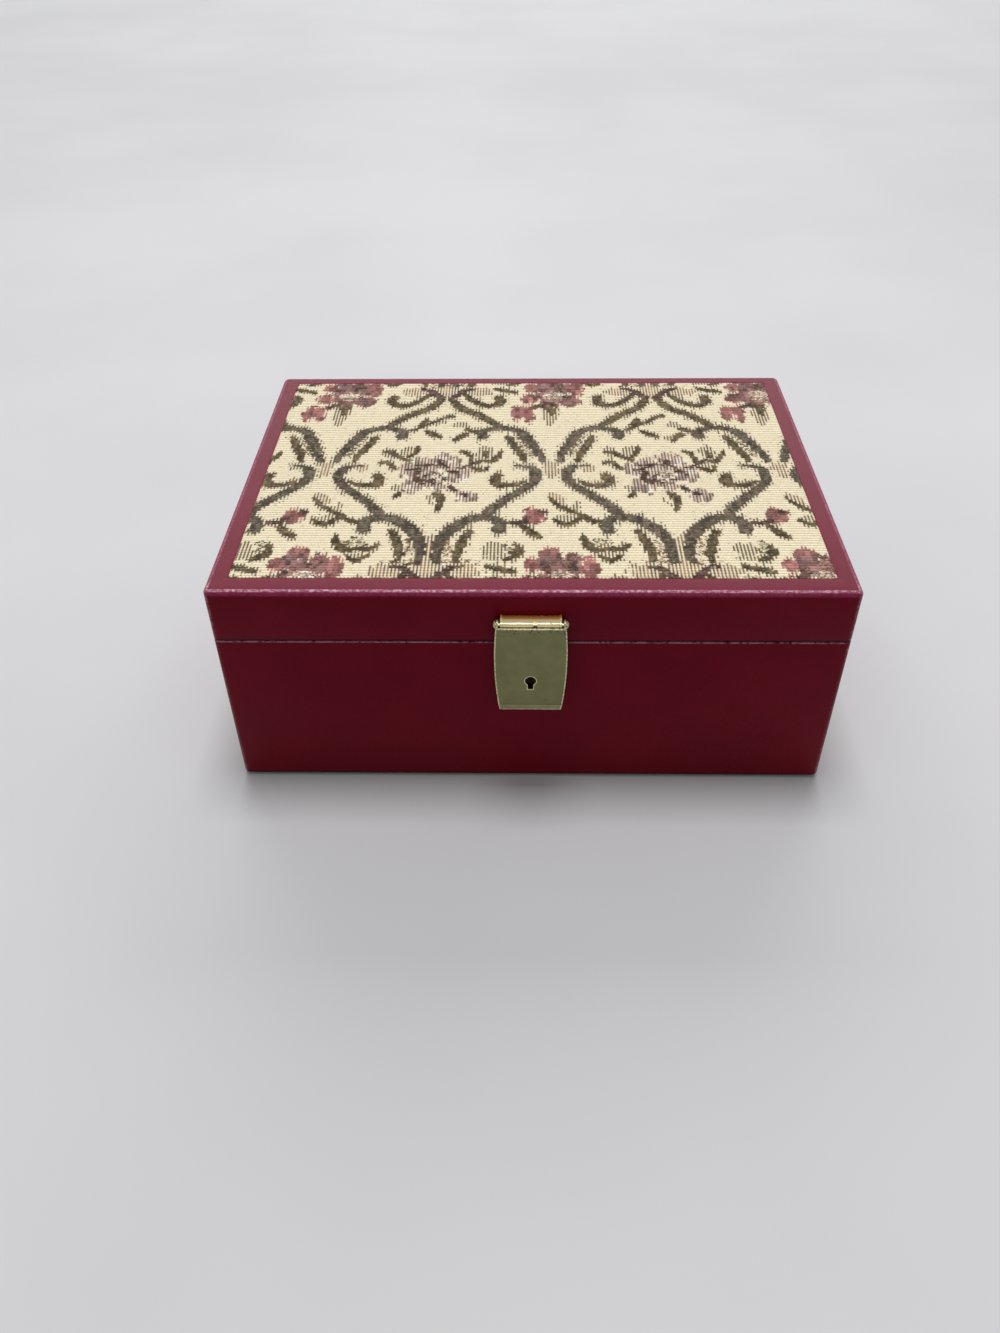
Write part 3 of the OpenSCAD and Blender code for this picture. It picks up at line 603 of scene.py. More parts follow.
@dataclass(frozen=True)
class BracketPlate:
    """The bracket's barrel, painted bright as a highlight, with a warmer flange and rust where it
    meets the lid.
    """

    # bright is the painted highlight colour of the barrel and the pin.
    bright: Colour = tone(255, 238, 188)
    warm: Colour = tone(236, 176, 92)
    rust: Colour = tone(124, 54, 20)
    barrel_back: float = -86.9 * MM
    lid_front: float = -84.6 * MM

    def material(self) -> bpy.types.Material:
        """Builds the finish."""
        make = Recipe("bracket_brass")
        cloud = make.mottle(3 * MM, 4.0, 0.6)
        # Painted highlight: the barrel is near-white cream; the flange behind it is warmer.
        back = (make.y - self.barrel_back).step(-0.2 * MM, 0.4 * MM)
        warm_flange = (back * 0.8 + cloud * 0.4).step(0.3, 0.8)
        colour = make.mix(warm_flange, self.bright, self.warm)
        against_lid = (make.y - self.lid_front).step(-1.0 * MM, 0.0, 0.0, 0.2)
        speck = make.mottle(0.8 * MM, 3.0, 0.65, shift=6.0, along=(0.5, 1.0, 1.0))
        stain = (against_lid + speck + back * 0.03).step(0.64, 0.72)
        colour = make.mix(stain * 0.85, colour, self.rust)
        scratch = make.mottle(0.2 * MM, 2.0, along=(0.1, 1.0, 1.0))
        normal = make.relief(scratch * 0.4 + cloud, 0.02 * MM)
        rough = warm_flange * 0.1 + 0.3 + stain * 0.3
        return make.finish(colour, rough, normal, warm_flange * 0.1 + 0.62 - stain * 0.3)


@dataclass(frozen=True)
class Felt:
    """Matt cloth of loose fibres."""

    name: str = "base_cloth"
    base: Colour = tone(38, 26, 30)
    light: Colour = tone(60, 44, 48)
    fibre: float = 0.4 * MM
    detail: float = 4.0
    depth: float = 0.1 * MM

    def material(self) -> bpy.types.Material:
        """Builds the finish."""
        make = Recipe(self.name)
        fibre = make.mottle(self.fibre, self.detail, 0.7)
        colour = make.mix(fibre.step(*BROAD), self.base, self.light)
        return make.finish(colour, 0.95, make.relief(fibre, self.depth), Specular_IOR_Level=0.1)


@dataclass(frozen=True)
class CoveredCard:
    """Card covered with embossed paper."""

    name: str = "tray_card"
    base: Colour = tone(134, 40, 56)
    deep: Colour = tone(116, 28, 46)

    def material(self) -> bpy.types.Material:
        """Builds the finish."""
        make = Recipe(self.name)
        cloud = make.mottle(12 * MM, 3.0)
        dimple = make.pebble(0.7 * MM)
        colour = make.mix(cloud.step(*SOFT), self.deep, self.base)
        colour = make.mix(dimple.step(0.5, 0.8) * 0.3, colour, self.deep)
        rough = cloud.step(*BROAD, 0.5, 0.62)
        return make.finish(colour, rough, make.relief(dimple, 0.05 * MM), Specular_IOR_Level=0.25)


@dataclass(frozen=True)
class SpringSteel:
    """The blued leaf spring in the lock."""

    base: Colour = tone(96, 98, 104)

    def material(self) -> bpy.types.Material:
        """Builds the finish."""
        make = Recipe("spring_steel")
        cloud = make.mottle(2 * MM, 3.0)
        colour = make.mix(cloud.step(*BROAD), self.base, tone(70, 74, 86))
        rough = cloud.step(*BROAD, 0.3, 0.4)
        return make.finish(colour, rough, make.relief(cloud, 0.01 * MM), 1.0)


class Bench:
    """The modelling steps that the pieces share, on one mesh piece."""

    def __init__(self, piece: bpy.types.Object) -> None:
        """Takes a mesh piece that stands at the origin."""
        self.piece = piece

    @staticmethod
    def clear() -> None:
        """Deselects every object."""
        for thing in bpy.context.view_layer.objects:
            thing.select_set(False)

    @classmethod
    def start(cls, name: str) -> "Bench":
        """Names the primitive that was just added, and puts its place into its mesh."""
        piece = bpy.context.active_object
        piece.name = piece.data.name = name
        bpy.ops.object.transform_apply(location=True, rotation=True, scale=True)
        return cls(piece)

    @classmethod
    def plane(cls, name: str, width: float, depth: float, centre: Point) -> "Bench":
        """A flat rectangle that faces up."""
        cls.clear()
        bpy.ops.mesh.primitive_plane_add(size=1, location=centre)
        bpy.context.active_object.scale = (width, depth, 1.0)
        return cls.start(name)

    @classmethod
    def grid(cls, name: str, size: tuple[float, float], cell: tuple[float, float],
             centre: Point) -> "Bench":
        """A flat rectangle of even cells that faces up.

        Args:
            name: Name of the piece.
            size: Its width and depth.
            cell: About the width and depth of a cell.
            centre: Its middle.

        Returns:
            A bench with the piece.
        """
        columns, rows = (round(length / part) for length, part in zip(size, cell))
        cls.clear()
        bpy.ops.mesh.primitive_grid_add(x_subdivisions=columns, y_subdivisions=rows, size=1,
                                        location=centre)
        bpy.context.active_object.scale = (*size, 1.0)
        return cls.start(name)

    @classmethod
    def copy_of(cls, node: str, name: str) -> "Bench":
        """A merged copy of a fixed piece's mesh, with its flat faces whole again."""
        cls.clear()
        source = frame["nodes"][node]
        piece = bpy.data.objects.new(name, source.data.copy())
        piece.data.name = name
        piece.data.materials.clear()
        bpy.context.scene.collection.objects.link(piece)
        bench = cls(piece)
        with bench.editing():
            bpy.ops.mesh.select_all(action="SELECT")
            bpy.ops.mesh.remove_doubles(threshold=0.001 * MM)
            bpy.ops.mesh.dissolve_limited(angle_limit=math.radians(0.5))
        return bench

    def activate(self) -> None:
        """Makes the piece the only selected one."""
        self.clear()
        bpy.context.view_layer.objects.active = self.piece
        self.piece.select_set(True)

    @contextmanager
    def editing(self) -> Iterator[None]:
        """Runs a block of steps in edit mode."""
        self.activate()
        bpy.ops.object.mode_set(mode="EDIT")
        try:
            yield
        finally:
            bpy.ops.object.mode_set(mode="OBJECT")

    def pick_faces(self, wanted: FaceTest) -> int:
        """Selects the faces that pass a test of their middle and normal, in edit mode.

        Args:
            wanted: The test.

        Returns:
            How many faces are selected.
        """
        bpy.context.tool_settings.mesh_select_mode = (False, False, True)
        shape = bmesh.from_edit_mesh(self.piece.data)
        shape.normal_update()
        for part in (*shape.verts, *shape.edges, *shape.faces):
            part.select = False
        found = [face for face in shape.faces if wanted(face.calc_center_median(), face.normal)]
        for face in found:
            face.select_set(True)
        bmesh.update_edit_mesh(self.piece.data)
        return len(found)

    def pick_edges(self, wanted: Callable[[Vector, Vector], bool]) -> int:
        """Selects the edges that pass a test of their two ends, in edit mode."""
        bpy.context.tool_settings.mesh_select_mode = (False, True, False)
        shape = bmesh.from_edit_mesh(self.piece.data)
        for part in (*shape.verts, *shape.edges, *shape.faces):
            part.select = False
        found = [edge for edge in shape.edges if wanted(edge.verts[0].co, edge.verts[1].co)]
        for edge in found:
            edge.select_set(True)
        bmesh.update_edit_mesh(self.piece.data)
        return len(found)

    def round_uprights(self, radius: float, steps: int) -> "Bench":
        """Rounds the corners of a flat outline."""
        with self.editing():
            bpy.context.tool_settings.mesh_select_mode = (True, False, False)
            bpy.ops.mesh.select_all(action="SELECT")
            bpy.ops.mesh.bevel(offset=radius, segments=steps, affect="VERTICES")
        return self

    def divide_long_edges(self, longest: float) -> "Bench":
        """Cuts every long edge of the outline into even lengths."""
        with self.editing():
            sizes = ((b - a).length for a, b in self.edge_ends())
            for length in sorted({round(size, 5) for size in sizes if size > longest}):
                self.pick_edges(lambda a, b: abs((b - a).length - length) < HAIR)
                bpy.ops.mesh.subdivide(number_cuts=int(length / longest))
        return self

    def edge_ends(self) -> list[tuple[Vector, Vector]]:
        """The two ends of every edge, in edit mode."""
        shape = bmesh.from_edit_mesh(self.piece.data)
        return [(edge.verts[0].co.copy(), edge.verts[1].co.copy()) for edge in shape.edges]

    def raise_face(self, height: float) -> None:
        """Extrudes what is selected straight up, in edit mode."""
        bpy.ops.mesh.extrude_region_move(TRANSFORM_OT_translate={"value": (0.0, 0.0, height)})

    def close_below(self, drop: float) -> "Bench":
        """Extrudes the rim of a sheet downwards and closes it with one face."""
        with self.editing():
            bpy.context.tool_settings.mesh_select_mode = (False, True, False)
            bpy.ops.mesh.select_all(action="DESELECT")
            bpy.ops.mesh.select_non_manifold(extend=False, use_boundary=True)
            self.raise_face(-drop)
            bpy.ops.mesh.edge_face_add()
        return self

    def roll_edge(self, radius: float, steps: int) -> None:
        """Rounds the rim of the selected face over towards its normal, in edit mode."""
        turns = [math.pi / 2 * k / steps for k in range(steps + 1)]
        for a, b in zip(turns, turns[1:]):
            bpy.ops.mesh.inset(thickness=radius * (math.cos(a) - math.cos(b)), use_boundary=True,
                               depth=radius * (math.sin(b) - math.sin(a)))

    def draw_in(self, size: tuple[float, float], new_size: tuple[float, float], centre: Point,
                move: Point = (0.0, 0.0, 0.0)) -> None:
        """Extrudes the selected level face, and scales it to a new width and depth, in edit mode.

        Args:
            size: Its width and depth.
            new_size: The new width and depth.
            centre: Its centre.
            move: How far the new face's centre lies from there.
        """
        bpy.ops.mesh.extrude_region_move(TRANSFORM_OT_translate={"value": move})
        factors = (new_size[0] / size[0], new_size[1] / size[1], 1.0)
        middle = tuple(a + b for a, b in zip(centre, move))
        bpy.ops.transform.resize(value=factors, center_override=middle)

    def reshape(self, move: Callable[[np.ndarray], np.ndarray]) -> "Bench":
        """Moves the vertices by a formula.

        Args:
            move: Takes and returns an array of points.

        Returns:
            The same bench.
        """
        mesh = self.piece.data
        flat = np.empty(len(mesh.vertices) * 3, np.float32)
        mesh.vertices.foreach_get("co", flat)
        moved = move(flat.reshape(-1, 3).astype(float))
        mesh.vertices.foreach_set("co", moved.astype(np.float32).ravel())
        mesh.update()
        return self

    def modify(self, kind: str, **settings: Any) -> "Bench":
        """Adds a modifier with its settings, and applies it."""
        self.activate()
        modifier = self.piece.modifiers.new(kind.lower(), kind)
        for name, setting in settings.items():
            setattr(modifier, name, setting)
        bpy.ops.object.modifier_apply(modifier=modifier.name)
        return self

    def ease_edges(self, width: float, steps: int = 2, sharper_than: float = 30.0) -> "Bench":
        """Rounds every sharp edge a little."""
        return self.modify("BEVEL", width=width, segments=steps, limit_method="ANGLE",
                           angle_limit=math.radians(sharper_than), harden_normals=False,
                           use_clamp_overlap=True)

    def smooth(self, up_to: float = 40.0) -> "Bench":
        """Shades the piece smoothly, apart from its sharp edges."""
        self.activate()
        bpy.ops.object.shade_smooth_by_angle(angle=math.radians(up_to))
        return self

    def outwards(self) -> "Bench":
        """Turns every face outwards."""
        with self.editing():
            bpy.ops.mesh.select_all(action="SELECT")
            bpy.ops.mesh.normals_make_consistent(inside=False)
        return self

    def settle(self, body: str, finish: bpy.types.Material, slot: Slot,
               *nodes: str) -> bpy.types.Object:
        """Dresses the piece and ties it to its body.

        Args:
            body: The body that it moves with.
            finish: Its material.
            slot: The piece's material slot; not used.
            nodes: The fixed pieces that it stands for.

        Returns:
            The piece.
        """
        self.piece.data.materials.clear()
        self.piece.data.materials.append(finish)
        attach(self.piece, body)
        if nodes:
            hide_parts(*nodes)
        LOG.info("%s: %d faces on %s", self.piece.name, len(self.piece.data.polygons), body)
        return self.piece


def ripple(place: Vector, grain: float, seed: float) -> float:
    """Smooth noise from -1 to 1 at a place, with patches of a size."""
    return noise.noise(place / grain + Vector((seed, 2.7 * seed, 5.1 * seed)))


@dataclass
class Cover:
    """What both leatherette covers share: rounded corners, and edges rolled over the boards."""

    low: float
    high: float
    low_edge: float
    high_edge: float
    high_steps: int
    rim: float
    spacing: float
    width: float = BOX_WIDTH
    depth: float = BOX_DEPTH
    corner: float = CORNER
    skin: float = 0.8 * MM
    corner_steps: int = 6
    low_steps: int = 4
    smooth_up_to: float = 50.0

    def outline(self, name: str) -> Bench:
        """The flat outline that the cover rises from."""
        bench = Bench.plane(name, self.width, self.depth, (0, 0, self.low + self.low_edge))
        return bench.round_uprights(self.corner, self.corner_steps).divide_long_edges(self.spacing)

    def raise_block(self, bench: Bench) -> None:
        """Raises the outline to a block and rolls its upper edge, in edit mode."""
        middle = (self.low + self.high) / 2
        bench.pick_faces(lambda c, n: True)
        bench.raise_face(self.high - self.low - self.low_edge - self.high_edge)
        bpy.ops.mesh.select_all(action="SELECT")
        bpy.ops.mesh.normals_make_consistent(inside=False)
        bench.pick_faces(lambda c, n: n.z > LEVEL and c.z > middle)
        bench.roll_edge(self.high_edge, self.high_steps)

    def roll_underside(self, bench: Bench) -> None:
        """Rolls the lower edge and leaves the underside picked, in edit mode."""
        middle = (self.low + self.high) / 2
        bench.pick_faces(lambda c, n: n.z < -LEVEL and c.z < middle)
        bench.roll_edge(self.low_edge, self.low_steps)

    def turn_over_rim(self, bench: Bench, edge: float, level: float) -> None:
        """Turns the picked face in over the boards and opens it, in edit mode.

        Args:
            bench: The cover.
            edge: Radius of the rolled edge round the face.
            level: Height of the face.
        """
        rolled = (self.width - 2 * edge, self.depth - 2 * edge)
        opening = (self.width - 2 * self.rim, self.depth - 2 * self.rim)
        bench.draw_in(rolled, opening, (0, 0, level))
        bpy.ops.mesh.delete(type="FACE")


@dataclass
class CaseCover(Cover):
    """The leatherette round the body: sides, turned-over rim and closed underside."""

    low: float = 1.0 * MM
    high: float = BODY_TOP
    low_edge: float = 0.9 * MM
    high_edge: float = 0.5 * MM
    high_steps: int = 4
    rim: float = 5.8 * MM
    spacing: float = 6.0 * MM

    def build(self, finish: bpy.types.Material) -> bpy.types.Object:
        """Models the cover and dresses it.

        Args:
            finish: The leatherette.

        Returns:
            The piece.
        """
        bench = self.outline("case_cover")
        with bench.editing():
            self.raise_block(bench)
            self.turn_over_rim(bench, self.high_edge, self.high)
            self.roll_underside(bench)
        bench.modify("SOLIDIFY", thickness=self.skin, offset=-1.0, use_even_offset=True)
        bench.smooth(self.smooth_up_to)
        return bench.settle("case", finish, Slot.LEATHERETTE, "body_leatherette")


@dataclass
class LidCover(Cover):
    """The leatherette over the lid, with a border round the tapestry's window."""

    low: float = 69.7 * MM
    high: float = BOX_TOP
    low_edge: float = 0.6 * MM
    high_edge: float = 1.8 * MM
    high_steps: int = 6
    rim: float = 5.3 * MM
    spacing: float = 2.4 * MM
    window_width: float = WINDOW_WIDTH
    window_depth: float = WINDOW_DEPTH
    window_shift: float = WINDOW_SHIFT
    lap: float = 0.35 * MM
    border_shares: tuple[float, ...] = (0.3, 0.5, 1.0)
    cut_edge: tuple[tuple[float, float], ...] = (
        (0.15 * MM, 0.06 * MM), (0.08 * MM, 0.2 * MM), (0.02 * MM, 0.45 * MM))
    wander: float = 0.35 * MM
    wander_reach: float = 1.5 * MM

    def build(self, finish: bpy.types.Material) -> bpy.types.Object:
        """Models the cover and dresses it.

        Args:
            finish: The leatherette.

        Returns:
            The piece.
        """
        bench = self.outline("lid_cover")
        with bench.editing():
            self.raise_block(bench)
            self.border(bench)
            bpy.ops.mesh.delete(type="FACE")
            self.roll_underside(bench)
            self.turn_over_rim(bench, self.low_edge, self.low)
        bench.reshape(self.draw_window)
        bench.modify("SOLIDIFY", thickness=self.skin, offset=-1.0, use_even_offset=False)
        bench.smooth(self.smooth_up_to)
        return bench.settle("lid", finish, Slot.LEATHERETTE, "lid_leatherette")

    def border(self, bench: Bench) -> None:
        """Draws the top in to the tapestry's window and turns its cut edge down, in edit mode."""
        size = (self.width - 2 * self.high_edge, self.depth - 2 * self.high_edge)
        window = (self.window_width - 2 * self.lap, self.window_depth - 2 * self.lap)
        centre, move = (0.0, 0.0, self.high), (0.0, self.window_shift, 0.0)
        for share in self.border_shares:
            nearer = tuple(a + (b - a) * share for a, b in zip(size, window))
            bench.draw_in(size, nearer, centre, move)
            size, centre, move = nearer, (0.0, self.window_shift, self.high), (0.0, 0.0, 0.0)
        for inwards, drop in self.cut_edge:
            nearer = (size[0] - 2 * inwards, size[1] - 2 * inwards)
            bench.draw_in(size, nearer, centre, (0.0, 0.0, -drop))
            size, centre = nearer, (0.0, self.window_shift, centre[2] - drop)

    def draw_window(self, points: np.ndarray) -> np.ndarray:
        """Makes the window's cut edge wander a little, as hand-trimmed leathercloth does."""
        half_w = self.window_width / 2 + self.wander_reach
        half_d = self.window_depth / 2 + self.wander_reach
        for point in points:
            place = Vector(point)
            away = (place.x / half_w, (place.y - self.window_shift) / half_d)
            if place.z < self.high - 1.0 * MM or max(map(abs, away)) >= 1.0:
                continue
            pull = self.wander * (ripple(place, 9 * MM, 1.0) + 0.6 * ripple(place, 3 * MM, 2.0))
            axis = 0 if abs(away[0]) > abs(away[1]) else 1
            point[axis] += math.copysign(1.0, away[axis]) * pull
        return points


class Yarn(Enum):
    """The tapestry's yarns, as screen colours."""

    CREAM = (247, 233, 200)
    PALE = (238, 218, 192)
    OLIVE = (104, 88, 62)
    GREY = (104, 92, 76)
    MAUVE = (132, 102, 102)
    ROSE = (166, 110, 104)
    PLUM = (98, 72, 64)
    HEATHER = (150, 108, 102)
    TAN = (150, 116, 88)


class Weave(Enum):
    """How a motif shows on the cloth."""

    SOLID = "solid"
    HATCHED = "hatched"
    TINTED = "hatched on a pale ground"
    DAPPLED = "dappled"


@dataclass(frozen=True)
class Stroke:
    """A curved line of yarn through a few points, in millimetres from the ogee's middle."""

    points: tuple[tuple[float, float], ...]
    widths: tuple[float, ...]
    yarn: Yarn = Yarn.OLIVE
    weave: Weave = Weave.SOLID
    mirrored: bool = False
    fringe: float = 0.0


@dataclass(frozen=True)
class Patch:
    """A rounded patch of yarn, with lobes like petals, in the same millimetres."""

    centre: tuple[float, float]
    radii: tuple[float, float]
    yarn: Yarn = Yarn.MAUVE
    weave: Weave = Weave.SOLID
    lobes: int = 0
    lobe_depth: float = 0.0
    turn: float = 0.0
    mirrored: bool = False


def hatched(centre: tuple[float, float], radii: tuple[float, float], yarn: Yarn = Yarn.OLIVE,
            mirrored: bool = False) -> Patch:
    """A patch woven as upright hatching."""
    return Patch(centre, radii, yarn, Weave.HATCHED, mirrored=mirrored)


# The motifs, in millimetres from the middle of an ogee. Those in the half drop are
# shifted sideways by half a repeat.
HALF_DROP = 46.0
OGEE_ARMS = (
    Stroke(((2.0, 66.2), (4.4, 60.6), (7.8, 55.4), (14.9, 50), (19.2, 45), (22.6, 41),
           (24, 38.6)), (3.4, 4.2, 4.4, 4.4, 4.2, 4.0, 3.0), mirrored=True, fringe=2.2),
    Stroke(((17.2, 30.4), (16.8, 34.3), (21.6, 37.3), (26.6, 37.6), (31.3, 36), (34.2, 33.1),
           (36, 29), (38, 24.3), (39.7, 20), (41.3, 15), (42.6, 9.4)),
           (5.2, 4.4, 3.8, 3.8, 4.2, 4.8, 5.0, 4.6, 4.2, 3.6, 3.0), Yarn.GREY, mirrored=True,
           fringe=2.0),
    Stroke(((28.3, 29.5), (30.2, 24), (32.3, 18.5), (34.2, 14), (34.9, 9.5)),
           (3.2, 3.6, 3.4, 3.2, 2.6), mirrored=True, fringe=1.6),
    Stroke(((32.6, 30), (34.2, 25), (36.4, 19), (38, 14)),
           (2.6, 3.4, 3.0, 2.4), weave=Weave.DAPPLED, mirrored=True),
    Stroke(((23.8, 66.4), (24.4, 63), (22.8, 60), (19, 58.6), (14.8, 60.8), (11.4, 64.5),
           (9, 68), (8, 70.5)), (4.6, 4.8, 4.2, 3.8, 3.4, 3.2, 2.8, 2.2), mirrored=True,
           fringe=2.2),
    Stroke(((3.2, 67.6), (5.6, 70.6), (8.2, 73.8), (12, 75.2)), (3.8, 3.6, 3.0, 2.0), Yarn.PLUM,
           mirrored=True, fringe=0.8),
    Stroke(((31, 5.8), (35, 5.2), (38.2, 3.6), (39.7, 0.5), (39.8, -3.8), (38.3, -8),
           (35.3, -12), (32, -15.8), (28.7, -19.4), (25.7, -23), (23, -26.8), (21.3, -29.8)),
           (1.4, 2.0, 3.8, 4.8, 4.6, 4.4, 4.2, 4.2, 4.2, 4.4, 4.6, 5.0), Yarn.GREY,
           mirrored=True, fringe=2.0),
    Stroke(((24.2, -2.4), (23.2, -6), (24.2, -9), (28, -9.8), (32, -9), (35, -7)),
           (4.2, 5.0, 4.2, 3.2, 2.8, 2.2), mirrored=True, fringe=1.8),
    Stroke(((25.4, -41.8), (25.9, -37.8), (23.4, -34.4), (19, -33.2), (14.4, -34.6), (11, -37.6),
           (7.7, -41.4), (5.4, -45.4), (4, -49.4), (3.2, -54), (3, -59), (3.4, -62.5)),
           (5.4, 5.0, 4.6, 4.8, 5.2, 5.6, 5.4, 5.2, 4.8, 4.4, 3.8, 2.8), Yarn.GREY,
           mirrored=True, fringe=2.0),
    Stroke(((14.6, -43), (12.6, -48), (11.4, -53), (10.6, -58), (10.6, -61.5)),
           (3.0, 3.8, 3.8, 3.4, 2.8), mirrored=True, fringe=1.4),
)
CROSSING_HATCH = (
    hatched((0, 76), (5.5, 9.5), Yarn.TAN),
    hatched((14, 72.4), (6.4, 4.6), Yarn.TAN, mirrored=True),
    Patch((8, 78.4), (6.5, 1.6), Yarn.TAN, Weave.DAPPLED, mirrored=True),
    hatched((0, -56), (3.4, 10), Yarn.TAN),
    Patch((7.2, -54), (2.0, 6), Yarn.TAN, Weave.DAPPLED, mirrored=True),
    hatched((46, 3), (3.2, 6.5), Yarn.TAN),
)
SPRIGS = (
    hatched((-31.2, 3.8), (3.0, 3.6), Yarn.TAN),
    Stroke(((-12.5, 36), (-9.2, 39.3), (-5.8, 42), (-2.5, 44.6), (0.8, 48), (3.2, 48.6)),
           (2.6, 2.8, 2.6, 2.0, 2.0, 3.2)),
    Stroke(((-7.8, 45.3), (-8.5, 42), (-9.2, 40)), (2.8, 4.2, 3.0)),
    Stroke(((-7.2, 35.3), (-4.5, 32.6), (-0.5, 30)), (2.0, 3.6, 2.2)),
    hatched((-2.2, 43), (2.6, 3.4)),
    hatched((7, 40.6), (3.4, 2.8)),
    Stroke(((10.2, 36.6), (14.2, 34.6), (17.5, 34)), (2.8, 3.0, 2.4)),
    Stroke(((9.8, 32), (7.6, 30), (5.8, 26.4)), (3.6, 3.2, 2.2)),
    hatched((4.6, 28.4), (2.0, 2.4)),
    Stroke(((-23.6, 16.9), (-20.1, 16.5), (-18.3, 14.3), (-15.7, 12.1), (-12.6, 9.9),
           (-11.3, 8.1)), (2.0, 3.4, 2.8, 2.6, 2.6, 1.8)),
    Stroke(((-9.4, 21.5), (-9.8, 18), (-10.8, 15.4), (-13, 12.5)), (2.0, 2.8, 2.2, 1.8)),
    hatched((-13.4, 16.6), (3.2, 5.0)),
    hatched((-21.5, 16.5), (2.2, 4.0)),
    Stroke(((-24.1, 7.9), (-21.4, 8.5), (-19.6, 6.3), (-18.3, 3.7), (-16.6, 3.2)),
           (2.4, 2.8, 2.6, 2.6, 1.2)),
    Stroke(((9, 17.4), (11.7, 15.6), (12.6, 12.5), (13, 9.9), (13.9, 7.6)),
           (2.2, 2.6, 2.2, 2.6, 2.8)),
    Stroke(((25.4, 16.9), (23.6, 12.5), (21, 9), (17.9, 9.9), (15.2, 8.1)),
           (1.6, 2.8, 3.0, 2.4, 2.8)),
    hatched((18.5, 16.5), (3.6, 6.5)),
    Stroke(((19, 17), (19.2, 12.5)), (2.4, 2.4)),
    Stroke(((13.9, 4.1), (16.5, 2.4), (19.2, 1.9), (20.5, 5)), (1.8, 2.6, 2.2, 1.6)),
    hatched((17.4, 5), (2.8, 1.8)),
    Stroke(((-13, -14), (-14.4, -16.6), (-16.1, -18.4)), (1.8, 2.4, 2.0)),
    hatched((-15, -11.5), (2.2, 3.5)),
    Stroke(((-0.5, -14.9), (1, -17.1), (2.6, -21), (2, -24.9), (1.2, -28)),
           (2.0, 4.2, 3.4, 2.4, 2.0)),
    Stroke(((-2.4, -17), (-2.4, -21), (-0.2, -24.9)), (1.2, 1.8, 1.2), weave=Weave.HATCHED),
    Patch((11.6, -17.7), (4.6, 5.2), Yarn.MAUVE, Weave.TINTED),
    Patch((10.9, -16.6), (1.4, 1.4), Yarn.PLUM),
)
STAR_PETALS = (
    (1.6, 10.5, 4.4, 6.0),
    (-7, 8.5, 4.6, 4.4),
    (-12, 2.5, 3.8, 5.8),
    (-9, -9, 5.0, 7.3),
    (0.5, -9, 3.4, 5.5),
    (9, -1.5, 4.4, 6.9),
    (7, 9, 2.4, 4.0),
    (-1, 0, 9.5, 9.0),
)
STAR_VEINS = (
    (((-9.1, 5.9), (-3.8, 6.5), (-0.7, 6.3), (0.7, 7.6), (0.9, 9.9)), (1.4, 1.8, 1.4, 1.4, 1.8)),
    (((-12.6, 2.1), (-9.5, 2.8), (-5.5, 4.8)), (1.6, 1.8, 1.2)),
    (((2, 6.3), (3.7, 4.3), (4.8, 3.7)), (1.2, 1.6, 1.0)),
    (((4.2, 1), (7.3, 0.6), (8.6, -1.6)), (1.6, 2.4, 1.6)),
    (((7.9, 3.7), (10.4, 4.1), (12.6, 5.9), (15.2, 7.6)), (1.4, 1.8, 1.4, 1.6)),
    (((-8.2, 0.6), (-9, -2.9), (-7.7, -6.5), (-6, -8.2)), (2.4, 3.0, 3.4, 2.0)),
    (((-5.5, -5.6), (-2.4, -7.8)), (2.2, 1.6)),
    (((-4.6, -2.5), (-3.3, -1.6)), (1.8, 1.4)),
    (((-2, 0.1), (-0.2, -0.1)), (1.2, 1.2)),
    (((0.7, -2.1), (2, -1.6)), (1.2, 1.0)),
    (((-2.9, -5.6), (-0.7, -5.6)), (1.2, 1.2)),
    (((2, -5.6), (3.7, -5.2)), (1.2, 1.2)),
    (((-1.1, -8), (2, -8)), (1.2, 1.4)),
    (((5.5, -11.1), (7.3, -13.5)), (2.2, 2.4)),
)
STAR_FLOWER = (
    *(Patch((x, y), (wide + 0.9, high + 0.7), Yarn.PALE, Weave.DAPPLED)
      for x, y, wide, high in STAR_PETALS),
    *(Patch((x, y), (wide, high), Yarn.MAUVE, Weave.TINTED)
      for x, y, wide, high in STAR_PETALS),
    Patch((0.4, -2.5), (3.4, 4.0), Yarn.PALE),
    *(Stroke(points, widths, Yarn.PLUM) for points, widths in STAR_VEINS),
)
ROSE_PETALS = (
    (-8.8, 65.1, 4.0, 3.7, Yarn.ROSE),
    (-7.6, 76.0, 3.6, 3.8, Yarn.ROSE),
    (-1.4, 82.3, 4.2, 4.4, Yarn.ROSE),
    (-1, 76, 4.6, 4.4, Yarn.HEATHER),
    (6.6, 76, 4.2, 6.6, Yarn.HEATHER),
    (12.8, 74.5, 3.2, 7.4, Yarn.ROSE),
    (9.5, 63, 5.0, 4.8, Yarn.HEATHER),
    (0.6, 67.5, 6.6, 7.5, Yarn.HEATHER),
    (0.7, 59.6, 3.6, 4.4, Yarn.HEATHER),
)
